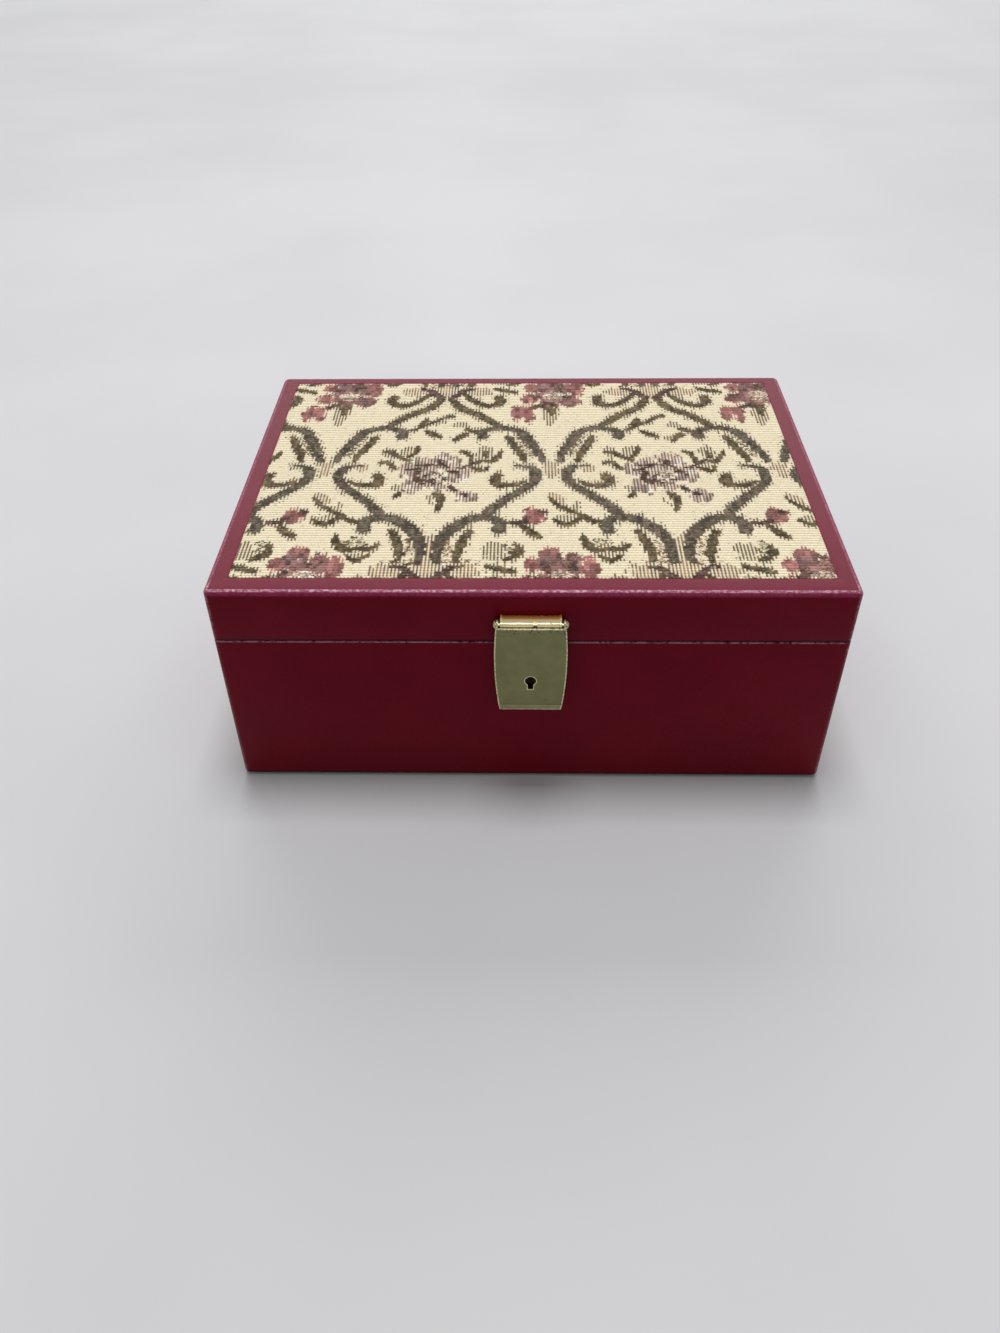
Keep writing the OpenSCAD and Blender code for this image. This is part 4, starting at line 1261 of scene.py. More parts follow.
ROSE_FLOWER = (
    *(Patch((x, y), (wide + 0.4, high + 0.3), Yarn.PLUM, Weave.DAPPLED)
      for x, y, wide, high, yarn in ROSE_PETALS),
    *(Patch((x, y), (wide, high), yarn)
      for x, y, wide, high, yarn in ROSE_PETALS),
    Patch((2.5, 68), (5.4, 4.8), Yarn.PALE, Weave.DAPPLED),
    Patch((-2, 79), (5, 4), Yarn.MAUVE, Weave.DAPPLED),
    Patch((5, 77.5), (3.4, 4.4), Yarn.PLUM, Weave.DAPPLED),
    Patch((-3.4, 73.5), (3.0, 2.4), Yarn.PLUM, Weave.DAPPLED),
    Stroke(((-10, 55.4), (-6.5, 57), (-4, 58.8), (-1, 61)), (2.4, 3.0, 3.0, 2.0), Yarn.PLUM),
    Stroke(((-1.8, 62), (0.7, 59.4), (3.4, 56)), (1.2, 1.6, 1.6), Yarn.PLUM),
    Stroke(((6.5, 67.5), (8.6, 66)), (1.2, 1.2), Yarn.PLUM),
    Stroke(((-9.4, 69.2), (-6.8, 69)), (1.2, 1.2), Yarn.PLUM),
    Patch((-14.2, 51.2), (2.7, 6.4), Yarn.ROSE),
    Patch((-9, 50.6), (2.4, 6.4), Yarn.ROSE),
    Patch((-11.8, 53.6), (4.4, 3.8), Yarn.ROSE),
    Stroke(((0.6, 58), (0.6, 51), (0, 44), (-0.4, 40)), (7.0, 7.6, 5.0, 2.0), Yarn.OLIVE,
           Weave.HATCHED),
    Stroke(((0.8, 57), (1, 53), (1, 49)), (3.2, 3.4, 1.2)),
)
HALF_DROP_SPRIGS = (
    Stroke(((-24.5, 75.2), (-21, 74), (-17.2, 72.6), (-14.5, 71.8)), (2.4, 3.4, 3.0, 2.2)),
    Stroke(((-25.5, 80.4), (-19, 80.6)), (2.4, 3.4), weave=Weave.HATCHED),
    hatched((-21.8, -54.7), (5.2, 4.6)),
    Patch((-15.6, -54), (3.0, 4.6), Yarn.OLIVE, Weave.DAPPLED),
    Stroke(((-13.2, -52.8), (-12.2, -56), (-14.5, -59.4), (-17.8, -61.4)), (2.2, 3.2, 3.2, 2.4)),
    Patch((17.6, -50.8), (4.8, 3.6), Yarn.OLIVE, Weave.DAPPLED),
    Stroke(((10.8, -46.7), (11.8, -51.4), (14.8, -55), (17.8, -55.4)), (2.6, 3.6, 4.0, 2.2)),
    Stroke(((19.4, -54.4), (24, -54.8), (27.5, -52)), (2.2, 3.2, 2.0)),
    hatched((20, -59), (4.6, 2.2)),
    Stroke(((16.5, -58.9), (20, -61.6), (24.4, -58.8)), (1.8, 3.0, 1.8)),
    Patch((-7.2, -32.4), (4.2, 5.1), Yarn.ROSE, Weave.SOLID, 3, 0.1, 0.5),
    Stroke(((-5.2, -28.6), (-2.6, -30)), (2.0, 1.8), Yarn.PLUM),
    Stroke(((-16.5, -36.7), (-12.9, -37.3), (-9.8, -35.2)), (2.4, 2.8, 2.6), Yarn.PLUM),
    Stroke(((-11.8, -38.9), (-8.5, -43.4), (-5.2, -46.9)), (2.4, 3.8, 2.8)),
    Stroke(((-0.5, -16.2), (2, -21), (3.5, -25.4)), (2.5, 6.5, 3.0), Yarn.TAN, Weave.HATCHED),
    Stroke(((-1.2, -19), (2, -24.6), (6, -28), (10.5, -31.6), (14, -35.2), (17.4, -36.3)),
           (1.6, 2.2, 2.6, 2.8, 3.0, 2.8)),
    Stroke(((9.5, -23), (9, -28.5)), (2.4, 3.0), weave=Weave.HATCHED),
    hatched((5.5, -33.8), (4.2, 2.6)),
    Stroke(((0.5, -35), (5, -38), (9, -35), (11.7, -31.6)), (2.2, 3.2, 2.8, 2.0)),
)


@dataclass
class TapestryPanel:
    """The woven panel in the lid: one face for each thread float, coloured by its motifs."""

    width: float = WINDOW_WIDTH
    depth: float = WINDOW_DEPTH
    shift: float = WINDOW_SHIFT
    top: float = 91.6 * MM
    bottom: float = 90.6 * MM
    corner: float = 3.0 * MM
    stroke: float = THREAD
    rib: float = RIB
    rows_per_rib: int = 3
    rib_height: float = 0.16 * MM
    tuck: float = 0.45 * MM
    tuck_reach: float = 1.4 * MM
    fuzziness: float = 0.25
    repeat_mm: tuple[float, float] = (92.0, 140.8)
    flower_mm: tuple[float, float] = (-37.5, -3.3)
    seed: int = 11

    def build(self, finish: bpy.types.Material) -> bpy.types.Object:
        """Models the cloth, weaves its pattern and dresses it.

        Args:
            finish: The woven cloth.

        Returns:
            The piece.
        """
        columns = round(self.width / self.stroke)
        rows = round(self.depth / self.rib) * self.rows_per_rib
        bench = Bench.grid("tapestry_cloth", (self.width, self.depth),
                           (self.width / columns, self.depth / rows), (0, self.shift, self.top))
        self.colour_threads(bench.piece.data, columns, rows)
        bench.reshape(lambda points: self.raise_ribs(points, rows))
        bench.close_below(self.top - self.bottom).reshape(self.level_hem)
        piece = bench.smooth(60).settle("lid", finish, Slot.TAPESTRY, "tapestry_panel")
        return piece

    def level_hem(self, points: np.ndarray) -> np.ndarray:
        """Flattens the underside of the cloth."""
        low = points[:, 2] < (self.top + self.bottom) / 2 + HAIR
        points[low, 2] = self.bottom
        return points

    def raise_ribs(self, points: np.ndarray, rows: int) -> np.ndarray:
        """Rounds the panel's corners, raises its ribs and tucks its edges under the border."""
        x, y = points[:, 0], points[:, 1] - self.shift
        half_w, half_d = self.width / 2, self.depth / 2
        row = np.rint((y + half_d) / self.depth * rows).astype(int)
        low = row % self.rows_per_rib == 0
        edge = np.minimum(half_w - np.abs(x), half_d - np.abs(y))
        dip = self.tuck * np.clip(1 - edge / self.tuck_reach, 0, 1) ** 1.5
        points[:, 2] = self.top - np.where(low, self.rib_height, 0.0) - dip
        over_x = np.abs(x) - (half_w - self.corner)
        over_y = np.abs(y) - (half_d - self.corner)
        reach = np.hypot(over_x, over_y)
        outside = (over_x > 0) & (over_y > 0) & (reach > self.corner)
        pull = np.where(outside, self.corner / np.maximum(reach, 1e-9), 1.0)
        for axis, place, half, over in ((0, x, half_w, over_x), (1, y, half_d, over_y)):
            turned = np.sign(place) * (half - self.corner + over * pull)
            points[:, axis] = np.where(outside, turned, place)
        points[:, 1] += self.shift
        return points

    def colour_threads(self, mesh: bpy.types.Mesh, columns: int, rows: int) -> None:
        """Gives each face of the cloth the colour of its yarn."""
        centres = np.empty(len(mesh.polygons) * 3, np.float32)
        mesh.polygons.foreach_get("center", centres)
        centres = centres.reshape(-1, 3).astype(float) / MM
        across = centres[:, 0] / self.width * MM + 0.5
        along = (centres[:, 1] - self.shift / MM) / self.depth * MM + 0.5
        column, row = (np.floor(share * count).astype(int)
                       for share, count in ((across, columns), (along, rows)))
        loom = Loom(centres[:, 0] - self.flower_mm[0], centres[:, 1] - self.flower_mm[1], column,
                    row // self.rows_per_rib, self.repeat_mm, self.seed)
        for motif in (*CROSSING_HATCH, *OGEE_ARMS, *SPRIGS, *STAR_FLOWER):
            loom.weave(motif, 0.0)
        for motif in (*HALF_DROP_SPRIGS, *ROSE_FLOWER):
            loom.weave(motif, HALF_DROP)
        floats = np.repeat(loom.threads(), 4, axis=0)
        ends = np.empty(len(mesh.loops), np.int32)
        mesh.loops.foreach_get("vertex_index", ends)
        met = np.zeros((len(mesh.vertices), 4))
        np.add.at(met, ends, floats)
        met /= np.bincount(ends, minlength=len(met))[:, None]
        colours = floats + (met[ends] - floats) * self.fuzziness
        attribute = mesh.color_attributes.new("yarn", "FLOAT_COLOR", "CORNER")
        attribute.data.foreach_set("color", colours.astype(np.float32).ravel())


class Loom:
    """Works out the yarn of every thread float from the motifs and how each is woven.

    The shares are chances that a float is woven so. Each float has one random number for them.
    """

    ragged_mm = 0.25
    patch_ragged_mm = 0.55
    shrink_mm = 0.05
    tooth_mm = 1.3
    tooth_spread_mm = 0.7
    tooth_row = 7
    fringe_share = 0.6
    fleck = tone(150, 138, 116)
    slub = tone(190, 172, 134)
    slub_from = 0.99
    dapple_share = 0.5
    dot_share = 0.6
    dark_shares = {Stroke: 0.14, Patch: 0.05}
    dark_light = 0.45
    fleck_from = 0.92
    fleck_inside_mm = 0.6
    patchiness = 0.34
    float_spread = 0.06

    def __init__(self, x: np.ndarray, y: np.ndarray, column: np.ndarray, row: np.ndarray,
                 repeat: tuple[float, float], seed: int) -> None:
        """Sets up the threads.

        Args:
            x: Place of each float across the cloth, in millimetres from an ogee's middle.
            y: Place of each float along the cloth.
            column: Number of its column.
            row: Number of its rib.
            repeat: Width and height of the pattern's repeat.
            seed: Seed of the weave's small irregularities.
        """
        self.x, self.y = x, y
        self.stroke_column = column % 2 == 1
        self.repeat = repeat
        self.draw = np.random.default_rng(seed)
        self.chance = self.draw.random(len(x))
        self.raggedness = self.ragged_mm * self.per_float(column, row)
        self.tooth = np.abs(self.tooth_mm + self.tooth_spread_mm * self.per_float(
            column, np.full_like(row, self.tooth_row)))
        self.patchy = self.per_float(column // 3, (row + column // 9) // 2)
        self.chequer = (row + column // 2) % 2 == 0
        self.colour = np.tile(np.array(tone(*Yarn.CREAM.value)), (len(x), 1))
        self.colour[self.stroke_column & (self.chance > self.slub_from)] = self.slub

    def per_float(self, column: np.ndarray, row: np.ndarray) -> np.ndarray:
        """A normal random number for each column and rib, the same all along one float."""
        table = self.draw.normal(0, 1, (int(column.max()) + 1, int(row.max()) + 1))
        return table[column, row]

    def stroke_field(self, motif: Stroke, drop: float, flip: bool,
                     lift: np.ndarray | float) -> np.ndarray:
        """Distance of each float outside a stroke's edge, negative inside it.

        Args:
            motif: The stroke.
            drop: How far its row of motifs is shifted.
            flip: Whether it is the mirror image.
            lift: How much higher the stroke is looked for.

        Returns:
            The distances in millimetres.
        """
        knots = np.array(motif.points, float) + (drop, 0.0)
        anchor = knots.mean(0)
        curve, widths = self.flow(knots - anchor, np.array(motif.widths, float))
        dx, dy = self.offsets(tuple(anchor), flip)
        dy = dy + lift
        nearest = np.full(len(dx), 1e9)
        for a, b, wide_a, wide_b in zip(curve, curve[1:], widths, widths[1:]):
            way = b - a
            along = np.clip(((dx - a[0]) * way[0] + (dy - a[1]) * way[1]) / (way @ way), 0, 1)
            gap = np.hypot(dx - a[0] - along * way[0], dy - a[1] - along * way[1])
            nearest = np.minimum(nearest, gap - (wide_a + (wide_b - wide_a) * along) / 2)
        return nearest

    def offsets(self, anchor: tuple[float, float], flip: bool) -> tuple[np.ndarray, np.ndarray]:
        """Distance of each float from the nearest repeat of an anchor point."""
        x = -self.x if flip else self.x
        dx = (x - anchor[0] + self.repeat[0] / 2) % self.repeat[0] - self.repeat[0] / 2
        dy = (self.y - anchor[1] + self.repeat[1] / 2) % self.repeat[1] - self.repeat[1] / 2
        return dx, dy

    @staticmethod
    def flow(knots: np.ndarray, widths: np.ndarray,
             steps: int = 4) -> tuple[np.ndarray, np.ndarray]:
        """A smooth curve through the knots, with its widths.

        Args:
            knots: The points that it passes through.
            widths: Its width at each of them.
            steps: Points per stretch.

        Returns:
            The curve's points and the width at each.
        """
        padded = np.vstack([2 * knots[0] - knots[1], knots, 2 * knots[-1] - knots[-2]])
        points, sizes = [], []
        for k in range(len(knots) - 1):
            p, q, r, s = padded[k:k + 4]
            for t in np.linspace(0, 1, steps, endpoint=False):
                points.append(0.5 * (2 * q + (r - p) * t + (2 * p - 5 * q + 4 * r - s) * t * t
                                     + (3 * q - p - 3 * r + s) * t ** 3))
                sizes.append(widths[k] + (widths[k + 1] - widths[k]) * t)
        return np.array([*points, knots[-1]]), np.array([*sizes, widths[-1]])

    def patch_field(self, motif: Patch, drop: float, flip: bool,
                    lift: np.ndarray | float) -> np.ndarray:
        """Distance of each float outside a patch's edge, negative inside it, as for a stroke."""
        dx, dy = self.offsets((motif.centre[0] + drop, motif.centre[1]), flip)
        dy = dy + lift
        turn = np.arctan2(dy / motif.radii[1], dx / motif.radii[0])
        edge = 1 + motif.lobe_depth * np.cos(motif.lobes * turn + motif.turn)
        share = np.hypot(dx / motif.radii[0], dy / motif.radii[1])
        return (share - edge) * min(motif.radii)

    def weave(self, motif: Stroke | Patch, drop: float) -> None:
        """Weaves one motif into the cloth, and its mirror image if it has one."""
        find = self.stroke_field if isinstance(motif, Stroke) else self.patch_field
        for flip in (False, True) if motif.mirrored else (False,):
            field_mm = find(motif, drop, flip, 0.0) + self.raggedness
            if isinstance(motif, Patch):
                field_mm = field_mm + self.patch_ragged_mm * self.patchy
            ends = (find(motif, drop, flip, lift) for lift in (self.tooth, -self.tooth))
            self.lay(motif, field_mm, np.minimum(*ends))

    def lay(self, motif: Stroke | Patch, field_mm: np.ndarray, reach: np.ndarray) -> None:
        """Colours the floats of a motif.

        Args:
            motif: The motif.
            field_mm: Distance of each float outside its edge.
            reach: The same, from the ends of a tooth above and below the float.
        """
        inside = field_mm < -self.shrink_mm
        if motif.weave is Weave.DAPPLED:
            self.paint(inside & (self.chance < self.dapple_share), motif.yarn)
            return
        if motif.weave is Weave.TINTED:
            self.paint(inside & ~self.stroke_column, Yarn.PALE)
        if motif.weave is not Weave.SOLID:
            self.paint(inside & self.stroke_column, motif.yarn)
            return
        nearest = np.minimum(field_mm, reach)
        teeth = self.stroke_column & (nearest < 0)
        fringe = nearest < self.fringe_share * getattr(motif, "fringe", 0.0)
        dots = self.stroke_column & self.chequer & fringe & (self.chance < self.dot_share)
        self.paint(inside | teeth | dots, motif.yarn)
        dark = np.array(tone(*motif.yarn.value)) * self.dark_light
        self.colour[inside & (self.chance < self.dark_shares[type(motif)])] = dark
        deep = field_mm < -self.fleck_inside_mm
        self.colour[deep & (self.chance > self.fleck_from)] = self.fleck

    def paint(self, where: np.ndarray, yarn: Yarn) -> None:
        """Colours floats with a yarn that is lighter in some places and darker in others."""
        light = np.clip(1 + self.patchiness * self.patchy[where, None], 0.5, 1.7)
        self.colour[where, :3] = np.array(tone(*yarn.value))[:3] * light

    def threads(self) -> np.ndarray:
        """The colour of every float, with small differences from float to float."""
        light = 1 + self.draw.normal(0, self.float_spread, (len(self.x), 1))
        return np.clip(self.colour * np.hstack([light, light, light, np.ones_like(light)]), 0, 1)


Eased = tuple[str, str, str, Slot, float]
METALWORK: tuple[Eased, ...] = (
    ("hasp_plate", "hasp_pan", "hasp", Slot.HASP_BRASS, 0.45 * MM),
    ("lid_bracket", "bracket_sheet", "lid", Slot.BRACKET_BRASS, 0.12 * MM),
    ("hasp_pin", "hasp_axle", "hasp", Slot.BRACKET_BRASS, 0.12 * MM),
    ("bracket_rivets", "bracket_studs", "lid", Slot.BRACKET_BRASS, 0.1 * MM),
    ("lock_case", "lock_backing", "hasp", Slot.LOCK_BRASS, 0.08 * MM),
    ("lock_bolt", "lock_slider", "bolt", Slot.LOCK_BRASS, 0.08 * MM),
    ("keeper_plate", "lock_keeper", "case", Slot.LOCK_BRASS, 0.1 * MM),
    ("hinge_body_leaves", "body_hinges", "case", Slot.HINGE_BRASS, 0.12 * MM),
    ("hinge_lid_leaves", "lid_hinges", "lid", Slot.HINGE_BRASS, 0.12 * MM),
    ("hinge_pins", "hinge_axles", "case", Slot.HINGE_BRASS, 0.1 * MM),
)
COVERED_CARDS: tuple[Eased, ...] = (
    ("front_liner", "front_lining", "case", Slot.VELVET, 0.5 * MM),
    ("back_liner", "back_lining", "case", Slot.VELVET, 0.5 * MM),
    ("end_liners", "end_linings", "case", Slot.VELVET, 0.5 * MM),
    ("tray_ledges", "tray_rails", "case", Slot.VELVET, 0.3 * MM),
    ("tray_base", "tray_floor", "tray", Slot.TRAY_CARD, 0.35 * MM),
    ("tray_long_walls", "tray_sides", "tray", Slot.TRAY_CARD, 0.35 * MM),
    ("tray_end_walls", "tray_ends", "tray", Slot.TRAY_CARD, 0.35 * MM),
    ("tray_long_divider", "tray_rib", "tray", Slot.TRAY_CARD, 0.35 * MM),
    ("tray_cross_dividers", "tray_cross_ribs", "tray", Slot.TRAY_CARD, 0.35 * MM),
)


@dataclass
class EasedPieces:
    """Copies of CAD pieces, with their sharp edges rounded a little."""

    finishes: dict[str, bpy.types.Material]
    rows: tuple[Eased, ...]
    smooth_up_to: float
    steps: int = 3

    def build(self) -> None:
        """Rounds and dresses the piece of each row: node, name, body, slot and edge width."""
        for node, name, body, slot, width in self.rows:
            bench = Bench.copy_of(node, name).ease_edges(width, self.steps)
            bench.smooth(self.smooth_up_to)
            bench.settle(body, self.finishes[slot.value], slot, node)


@dataclass
class Pad:
    """A flat cloth pad over a thin board: crowned a little, with its edges drawn down."""

    name: str
    low: Point
    high: Point
    cell: float = 2.5 * MM
    edge: float = 1.6 * MM
    edge_drop: float = 0.75
    sag: float = 0.3
    sag_size: float = 14 * MM
    nap: float = 0.12
    nap_size: float = 4 * MM
    most: float = 0.9

    def form(self) -> Bench:
        """Models the pad as a closed shape between its corners."""
        (left, front, low), (right, back, high) = self.low, self.high
        bench = Bench.grid(self.name, (right - left, back - front), (self.cell, self.cell),
                           ((left + right) / 2, (front + back) / 2, high))
        return bench.close_below(high - low).reshape(self.crown).outwards()

    def crown(self, points: np.ndarray) -> np.ndarray:
        """Raises the middle of the pad's upper face and draws its edge down."""
        thick = self.high[2] - self.low[2]
        for point in points:
            if point[2] < self.high[2] - 0.01 * MM:
                continue
            place = Vector(point)
            inwards = min(point[0] - self.low[0], self.high[0] - point[0],
                          point[1] - self.low[1], self.high[1] - point[1])
            share = min(inwards / self.edge, 1.0)
            round_over = 1 - math.sqrt(max(0.0, 1 - (1 - share) ** 2))
            sag = self.sag * (0.5 + 0.5 * ripple(place, self.sag_size, 3.0))
            nap = self.nap * (0.5 + 0.5 * ripple(place, self.nap_size, 7.0))
            point[2] -= thick * min(self.most, self.edge_drop * round_over + (sag + nap) * share)
        return points


@dataclass
class Lining:
    """The velvet lining, the pads on the floor and in the tray, and the cloth under the case."""

    finishes: dict[str, bpy.types.Material]
    floor_half: tuple[float, float] = (107.6 * MM, 77.1 * MM)
    floor_levels: tuple[float, float] = (5.8 * MM, 7.8 * MM)
    foot_half: tuple[float, float] = (112 * MM, 81.5 * MM)
    foot_levels: tuple[float, float] = (0.0, 1.0 * MM)
    bay_half: tuple[float, float] = (104.7 * MM, 74.2 * MM)
    bay_levels: tuple[float, float] = (48.8 * MM, 49.8 * MM)
    long_divider: tuple[float, float] = (-26.5 * MM, -25.0 * MM)
    divider: float = 1.5 * MM
    clear: float = 0.3 * MM

    def build(self) -> None:
        """Models and dresses every lining piece."""
        EasedPieces(self.finishes, COVERED_CARDS, 40).build()
        (wide, deep), (low, high) = self.floor_half, self.floor_levels
        floor = Pad("floor_cushion", (-wide, -deep, low), (wide, deep, high))
        piece = self.dress(floor.form(), "case", Slot.VELVET, "floor_pad")
        (wide, deep), (low, high) = self.foot_half, self.foot_levels
        foot = Pad("foot_cloth", (-wide, -deep, low), (wide, deep, high), edge=1.0 * MM,
                   sag=0.0, nap=0.1)
        piece = self.dress(foot.form(), "case", Slot.BASE_CLOTH, "foot_pad")
        piece = self.dress(self.bays(), "tray", Slot.VELVET, "tray_velvet")

    def dress(self, bench: Bench, body: str, slot: Slot, node: str) -> bpy.types.Object:
        """Smooths a pad, and settles it with the finish of its slot."""
        return bench.smooth(60).settle(body, self.finishes[slot.value], slot, node)

    def bays(self) -> Bench:
        """Lays a pad in each of the tray's seven bays, as one piece."""
        half_w, half_d = self.bay_half
        rows = ((4, -half_d, self.long_divider[0] - self.clear),
                (3, self.long_divider[1] + self.clear, half_d))
        pads = []
        for count, front, back in rows:
            pitch = (2 * half_w + 2 * self.clear + self.divider) / count
            for k in range(count):
                left = -half_w + k * pitch
                right = left + pitch - self.divider - 2 * self.clear
                low, high = self.bay_levels
                pads.append(Pad(f"bay_{len(pads)}", (left, front, low), (right, back, high),
                                cell=1.8 * MM, edge=1.2 * MM).form())
        Bench.clear()
        for pad in pads:
            pad.piece.select_set(True)
        bpy.context.view_layer.objects.active = pads[0].piece
        bpy.ops.object.join()
        pads[0].piece.name = pads[0].piece.data.name = "tray_pads"
        return pads[0]


@dataclass
class SatinPad:
    """The puffed satin inside the lid: blown up as cloth, then gathered along its edges."""

    half_width: float = 108.4 * MM
    half_depth: float = 77.9 * MM
    board: float = 86.8 * MM
    lowest: float = 81.9 * MM
    start: float = 1.8 * MM
    cell: float = 3.6 * MM
    pressure: float = 4.0
    frames: int = 20
    gather: float = 0.9 * MM
    pleat: float = 5.6 * MM
    pleat_wander: float = 22.0 * MM
    pleat_inset: float = 2.0 * MM
    pleat_room: float = 0.4
    reach: float = 24.0 * MM
    crease: float = 0.35
    crease_size: float = 16.0 * MM
    crease_inset: float = 8.0 * MM
    quick_crown: float = 3.0 * MM
    quick_reach: float = 30.0 * MM

    def build(self, finish: bpy.types.Material) -> bpy.types.Object:
        """Models the pad and dresses it.

        Args:
            finish: The satin.

        Returns:
            The piece.
        """
        bench = Bench.grid("lid_satin", (2 * self.half_width, 2 * self.half_depth),
                           (self.cell, self.cell), (0, 0, self.board - self.start))
        bench.modify("SOLIDIFY", thickness=self.start, offset=1.0)
        bench.outwards()
        self.blow_up(bench)
        bench.reshape(self.fit)
        bench.modify("SUBSURF", levels=1, render_levels=1)
        bench.reshape(self.gathered)
        piece = bench.smooth(80).settle("lid", finish, Slot.SATIN, "lid_satin_pad")
        return piece

    def blow_up(self, bench: Bench) -> None:
        """Blows the lower face up with the cloth simulation, its other faces held."""
        piece = bench.piece
        held = piece.vertex_groups.new(name="held")
        fixed = [vertex.index for vertex in piece.data.vertices if self.is_held(vertex.co)]
        held.add(fixed, 1.0, "REPLACE")
        bench.activate()
        modifier = piece.modifiers.new("cloth", "CLOTH")
        settings = modifier.settings
        settings.vertex_group_mass = "held"
        settings.use_pressure = True
        settings.uniform_pressure_force = self.pressure
        settings.effector_weights.gravity = 0.0
        modifier.point_cache.frame_start, modifier.point_cache.frame_end = 1, self.frames
        for frame_number in range(1, self.frames + 1):
            bpy.context.scene.frame_set(frame_number)
            bpy.context.view_layer.update()
        bpy.ops.object.modifier_apply(modifier="cloth")
        bpy.context.scene.frame_set(1)
        piece.vertex_groups.clear()
        depth = min(vertex.co.z for vertex in piece.data.vertices)
        LOG.info("satin blown up to %.2f mm below the board", (self.board - depth) / MM)

    def halfway(self) -> float:
        """The level between the pad's board side and the face that is blown up."""
        return self.board - 0.5 * self.start

    def is_held(self, place: Vector) -> bool:
        """Whether a point lies on the board or on the pad's edge."""
        over_x, over_y = self.half_width - abs(place.x), self.half_depth - abs(place.y)
        return place.z > self.halfway() or min(over_x, over_y) < HAIR

    def fit(self, points: np.ndarray) -> np.ndarray:
        """Scales the blown depth to the space in the lid, and leaves room for the pleats."""
        low = points[:, 2] < self.halfway()
        blown = np.clip(self.board - points[:, 2] - self.start, 0, None)
        room = self.board - self.lowest - self.start - self.pleat_room * self.gather
        fitted = self.board - self.start - blown * room / max(blown[low].max(), MM)
        points[:, 2] = np.where(low, fitted, points[:, 2])
        halves = np.array((self.half_width, self.half_depth))
        points[:, :2] = np.clip(points[:, :2], -halves, halves)
        return points

    def gathered(self, points: np.ndarray) -> np.ndarray:
        """Adds the fine pleats that run in from the pad's edges, and soft creases."""
        for point in points:
            if point[2] > self.halfway():
                continue
            over_x, over_y = self.half_width - abs(point[0]), self.half_depth - abs(point[1])
            along, inwards = (point[1], over_x) if over_x < over_y else (point[0], over_y)
            place = Vector(point)
            turn = along / self.pleat + 0.5 * ripple(place, self.pleat_wander, 5.0)
            fade = math.exp(-inwards / self.reach) * min(inwards / self.pleat_inset, 1.0)
            long_way = Vector((place.x * 0.5, place.y, 0))
            crease = self.crease * ripple(long_way, self.crease_size, 9.0)
            crease *= min(inwards / self.crease_inset, 1.0)
            folds = math.sin(2 * math.pi * turn) * fade + crease
            point[2] = max(self.lowest, point[2] + self.gather * folds)
        return points


@dataclass
class Viewpoint:
    """The camera, placed as the photograph was taken."""

    place: Point = (-2.92 * MM, -379.3 * MM, 309.8 * MM)
    pitch: float = 40.509
    yaw: float = 1.606
    roll: float = 0.857
    focal_px: float = 1057.3
    picture_px: float = 1333.0
    sensor_mm: float = 36.0

    def build(self) -> None:
        """Makes the camera and hands it to the scene."""
        pitch, yaw, roll = (math.radians(turn) for turn in (self.pitch, self.yaw, self.roll))
        turn = Matrix.Rotation(yaw, 3, "Z")
        right = turn @ Vector((1, 0, 0))
        ahead = turn @ Vector((0, math.cos(pitch), -math.sin(pitch)))
        down = turn @ Vector((0, -math.sin(pitch), -math.cos(pitch)))
        right, down = (math.cos(roll) * right + math.sin(roll) * down,
                       math.cos(roll) * down - math.sin(roll) * right)
        data = bpy.data.cameras.new("viewpoint")
        data.sensor_width = self.sensor_mm
        data.lens = self.sensor_mm * self.focal_px / self.picture_px
        camera = bpy.data.objects.new("viewpoint", data)
        bpy.context.scene.collection.objects.link(camera)
        axes = Matrix((right, -down, -ahead)).transposed()
        camera.matrix_world = Matrix.Translation(self.place) @ axes.to_4x4()
        bpy.context.scene.camera = camera


@dataclass(frozen=True)
class Lamp:
    """One soft oblong lamp that points at a place."""

    name: str
    place: Point
    aim: Point
    size: tuple[float, float]
    power: float

    def build(self) -> None:
        """Makes the lamp."""
        data = bpy.data.lights.new(self.name, "AREA")
        data.shape = "RECTANGLE"
        data.size, data.size_y = self.size
        data.energy = self.power
        lamp = bpy.data.objects.new(self.name, data)
        bpy.context.scene.collection.objects.link(lamp)
        away = Vector(self.place) - Vector(self.aim)
        turn = away.to_track_quat("Z", "Y").to_matrix().to_4x4()
        lamp.matrix_world = Matrix.Translation(self.place) @ turn


@dataclass
class Studio:
    """A pale floor under soft light from above and behind."""

    floor_half: float = 6.0
    floor_tones: tuple[Colour, Colour] = (tone(214, 214, 216), tone(208, 208, 210))
    ambient: float = 0.34
    lamps: tuple[Lamp, ...] = (
        Lamp("top_light", (0.0, 0.1, 1.5), (0.0, 0.0, 0.05), (0.45, 0.45), 11.0),
        Lamp("back_light", (0.0, 2.4, 1.75), (0.0, 0.0, 0.08), (3.2, 1.4), 46.0),
    )

    def build(self) -> None:
        """Makes the floor, the lamps and the world."""
        bpy.context.scene.view_settings.view_transform = "Standard"
        Bench.clear()
        bpy.ops.mesh.primitive_plane_add(size=2 * self.floor_half)
        bench = Bench.start("studio_floor")
        bench.piece.data.materials.append(self.floor_finish())
        for lamp in self.lamps:
            lamp.build()
        world = bpy.data.worlds.new("studio")
        world.use_nodes = True
        sky = world.node_tree.nodes["Background"].inputs
        sky["Color"].default_value = (1.0, 1.0, 1.0, 1.0)
        sky["Strength"].default_value = self.ambient
        bpy.context.scene.world = world

    def floor_finish(self) -> bpy.types.Material:
        """The floor's plain matt finish."""
        make = Recipe("studio_floor")
        cloud = make.mottle(0.25, 3.0)
        colour = make.mix(cloud.step(*BROAD), *self.floor_tones)
        return make.finish(colour, 0.8, Specular_IOR_Level=0.1)


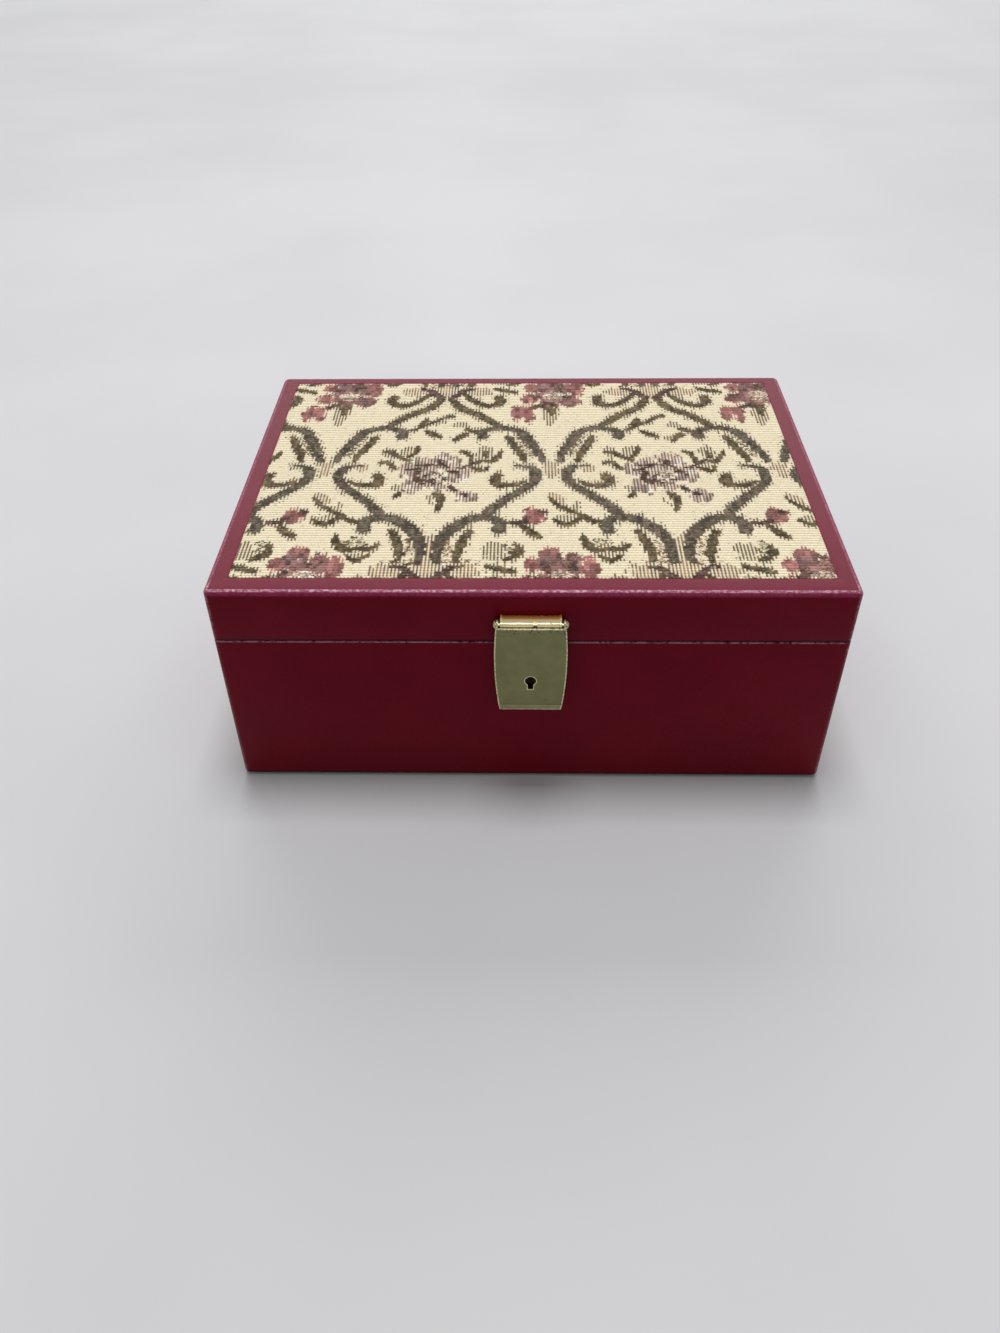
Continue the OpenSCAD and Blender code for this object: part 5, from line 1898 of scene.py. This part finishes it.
@dataclass
class FixedPieces:
    """The CAD pieces that stay, each with its finish."""

    finishes: dict[str, bpy.types.Material]
    exceptions: dict[str, bpy.types.Material] = field(default_factory=dict)

    def dress(self) -> None:
        """Gives every fixed piece its material, by the record's slots."""
        slots = {part["node"]: part["material_slot"] for part in frame["record"]["subparts"]}
        for node, piece in frame["nodes"].items():
            piece.data.materials.clear()
            piece.data.materials.append(self.exceptions.get(node, self.finishes[slots[node]]))
            LOG.info("%s: %s", node, slots[node])


def main() -> None:
    """Builds every sub-assembly in order."""
    logging.basicConfig(level=logging.INFO, format="%(name)s %(message)s")
    Viewpoint().build()
    Studio().build()
    leather = Leatherette().material()
    cloth = WovenCloth().material()
    finishes = {
        "leatherette": leather,
        "tapestry": cloth,
        "wadding": Felt("wadding", tone(226, 220, 204), tone(206, 198, 180), 0.8 * MM, 5.0,
                        0.2 * MM).material(),
        "satin": Satin().material(),
        "velvet": Velvet("velvet", tone(112, 26, 44), tone(84, 16, 32)).material(),
        "base_cloth": Felt().material(),
        "wood": Timber().material(),
        "tray_card": CoveredCard().material(),
        "hasp_brass": HaspPlate().material(),
        "bracket_brass": BracketPlate().material(),
        "lock_brass": Brass("lock_brass", tone(150, 130, 86), tone(118, 100, 64),
                            tone(60, 44, 28), 0.42).material(),
        "hinge_brass": Brass("hinge_brass", tone(172, 156, 108), tone(144, 128, 84),
                             tone(84, 62, 40), 0.38).material(),
        "spring_steel": SpringSteel().material(),
    }
    # Painted shade: the key post is near black, standing for the dark inside of the keyhole.
    keyhole_shade = Felt("keyhole_painted_shade", tone(14, 12, 11), tone(22, 19, 16)).material()
    paper = CoveredCard("lining_paper", tone(150, 74, 84), tone(136, 62, 74)).material()
    rims = dict.fromkeys(("lid_front_rim", "lid_back_rim", "lid_left_rim", "lid_right_rim"), paper)
    FixedPieces(finishes, {"key_post": keyhole_shade, **rims}).dress()
    CaseCover().build(leather)
    LidCover().build(leather)
    TapestryPanel().build(cloth)
    EasedPieces(finishes, METALWORK, 35).build()
    Lining(finishes).build()
    SatinPad().build(finishes["satin"])


if __name__ == "__main__":
    main()
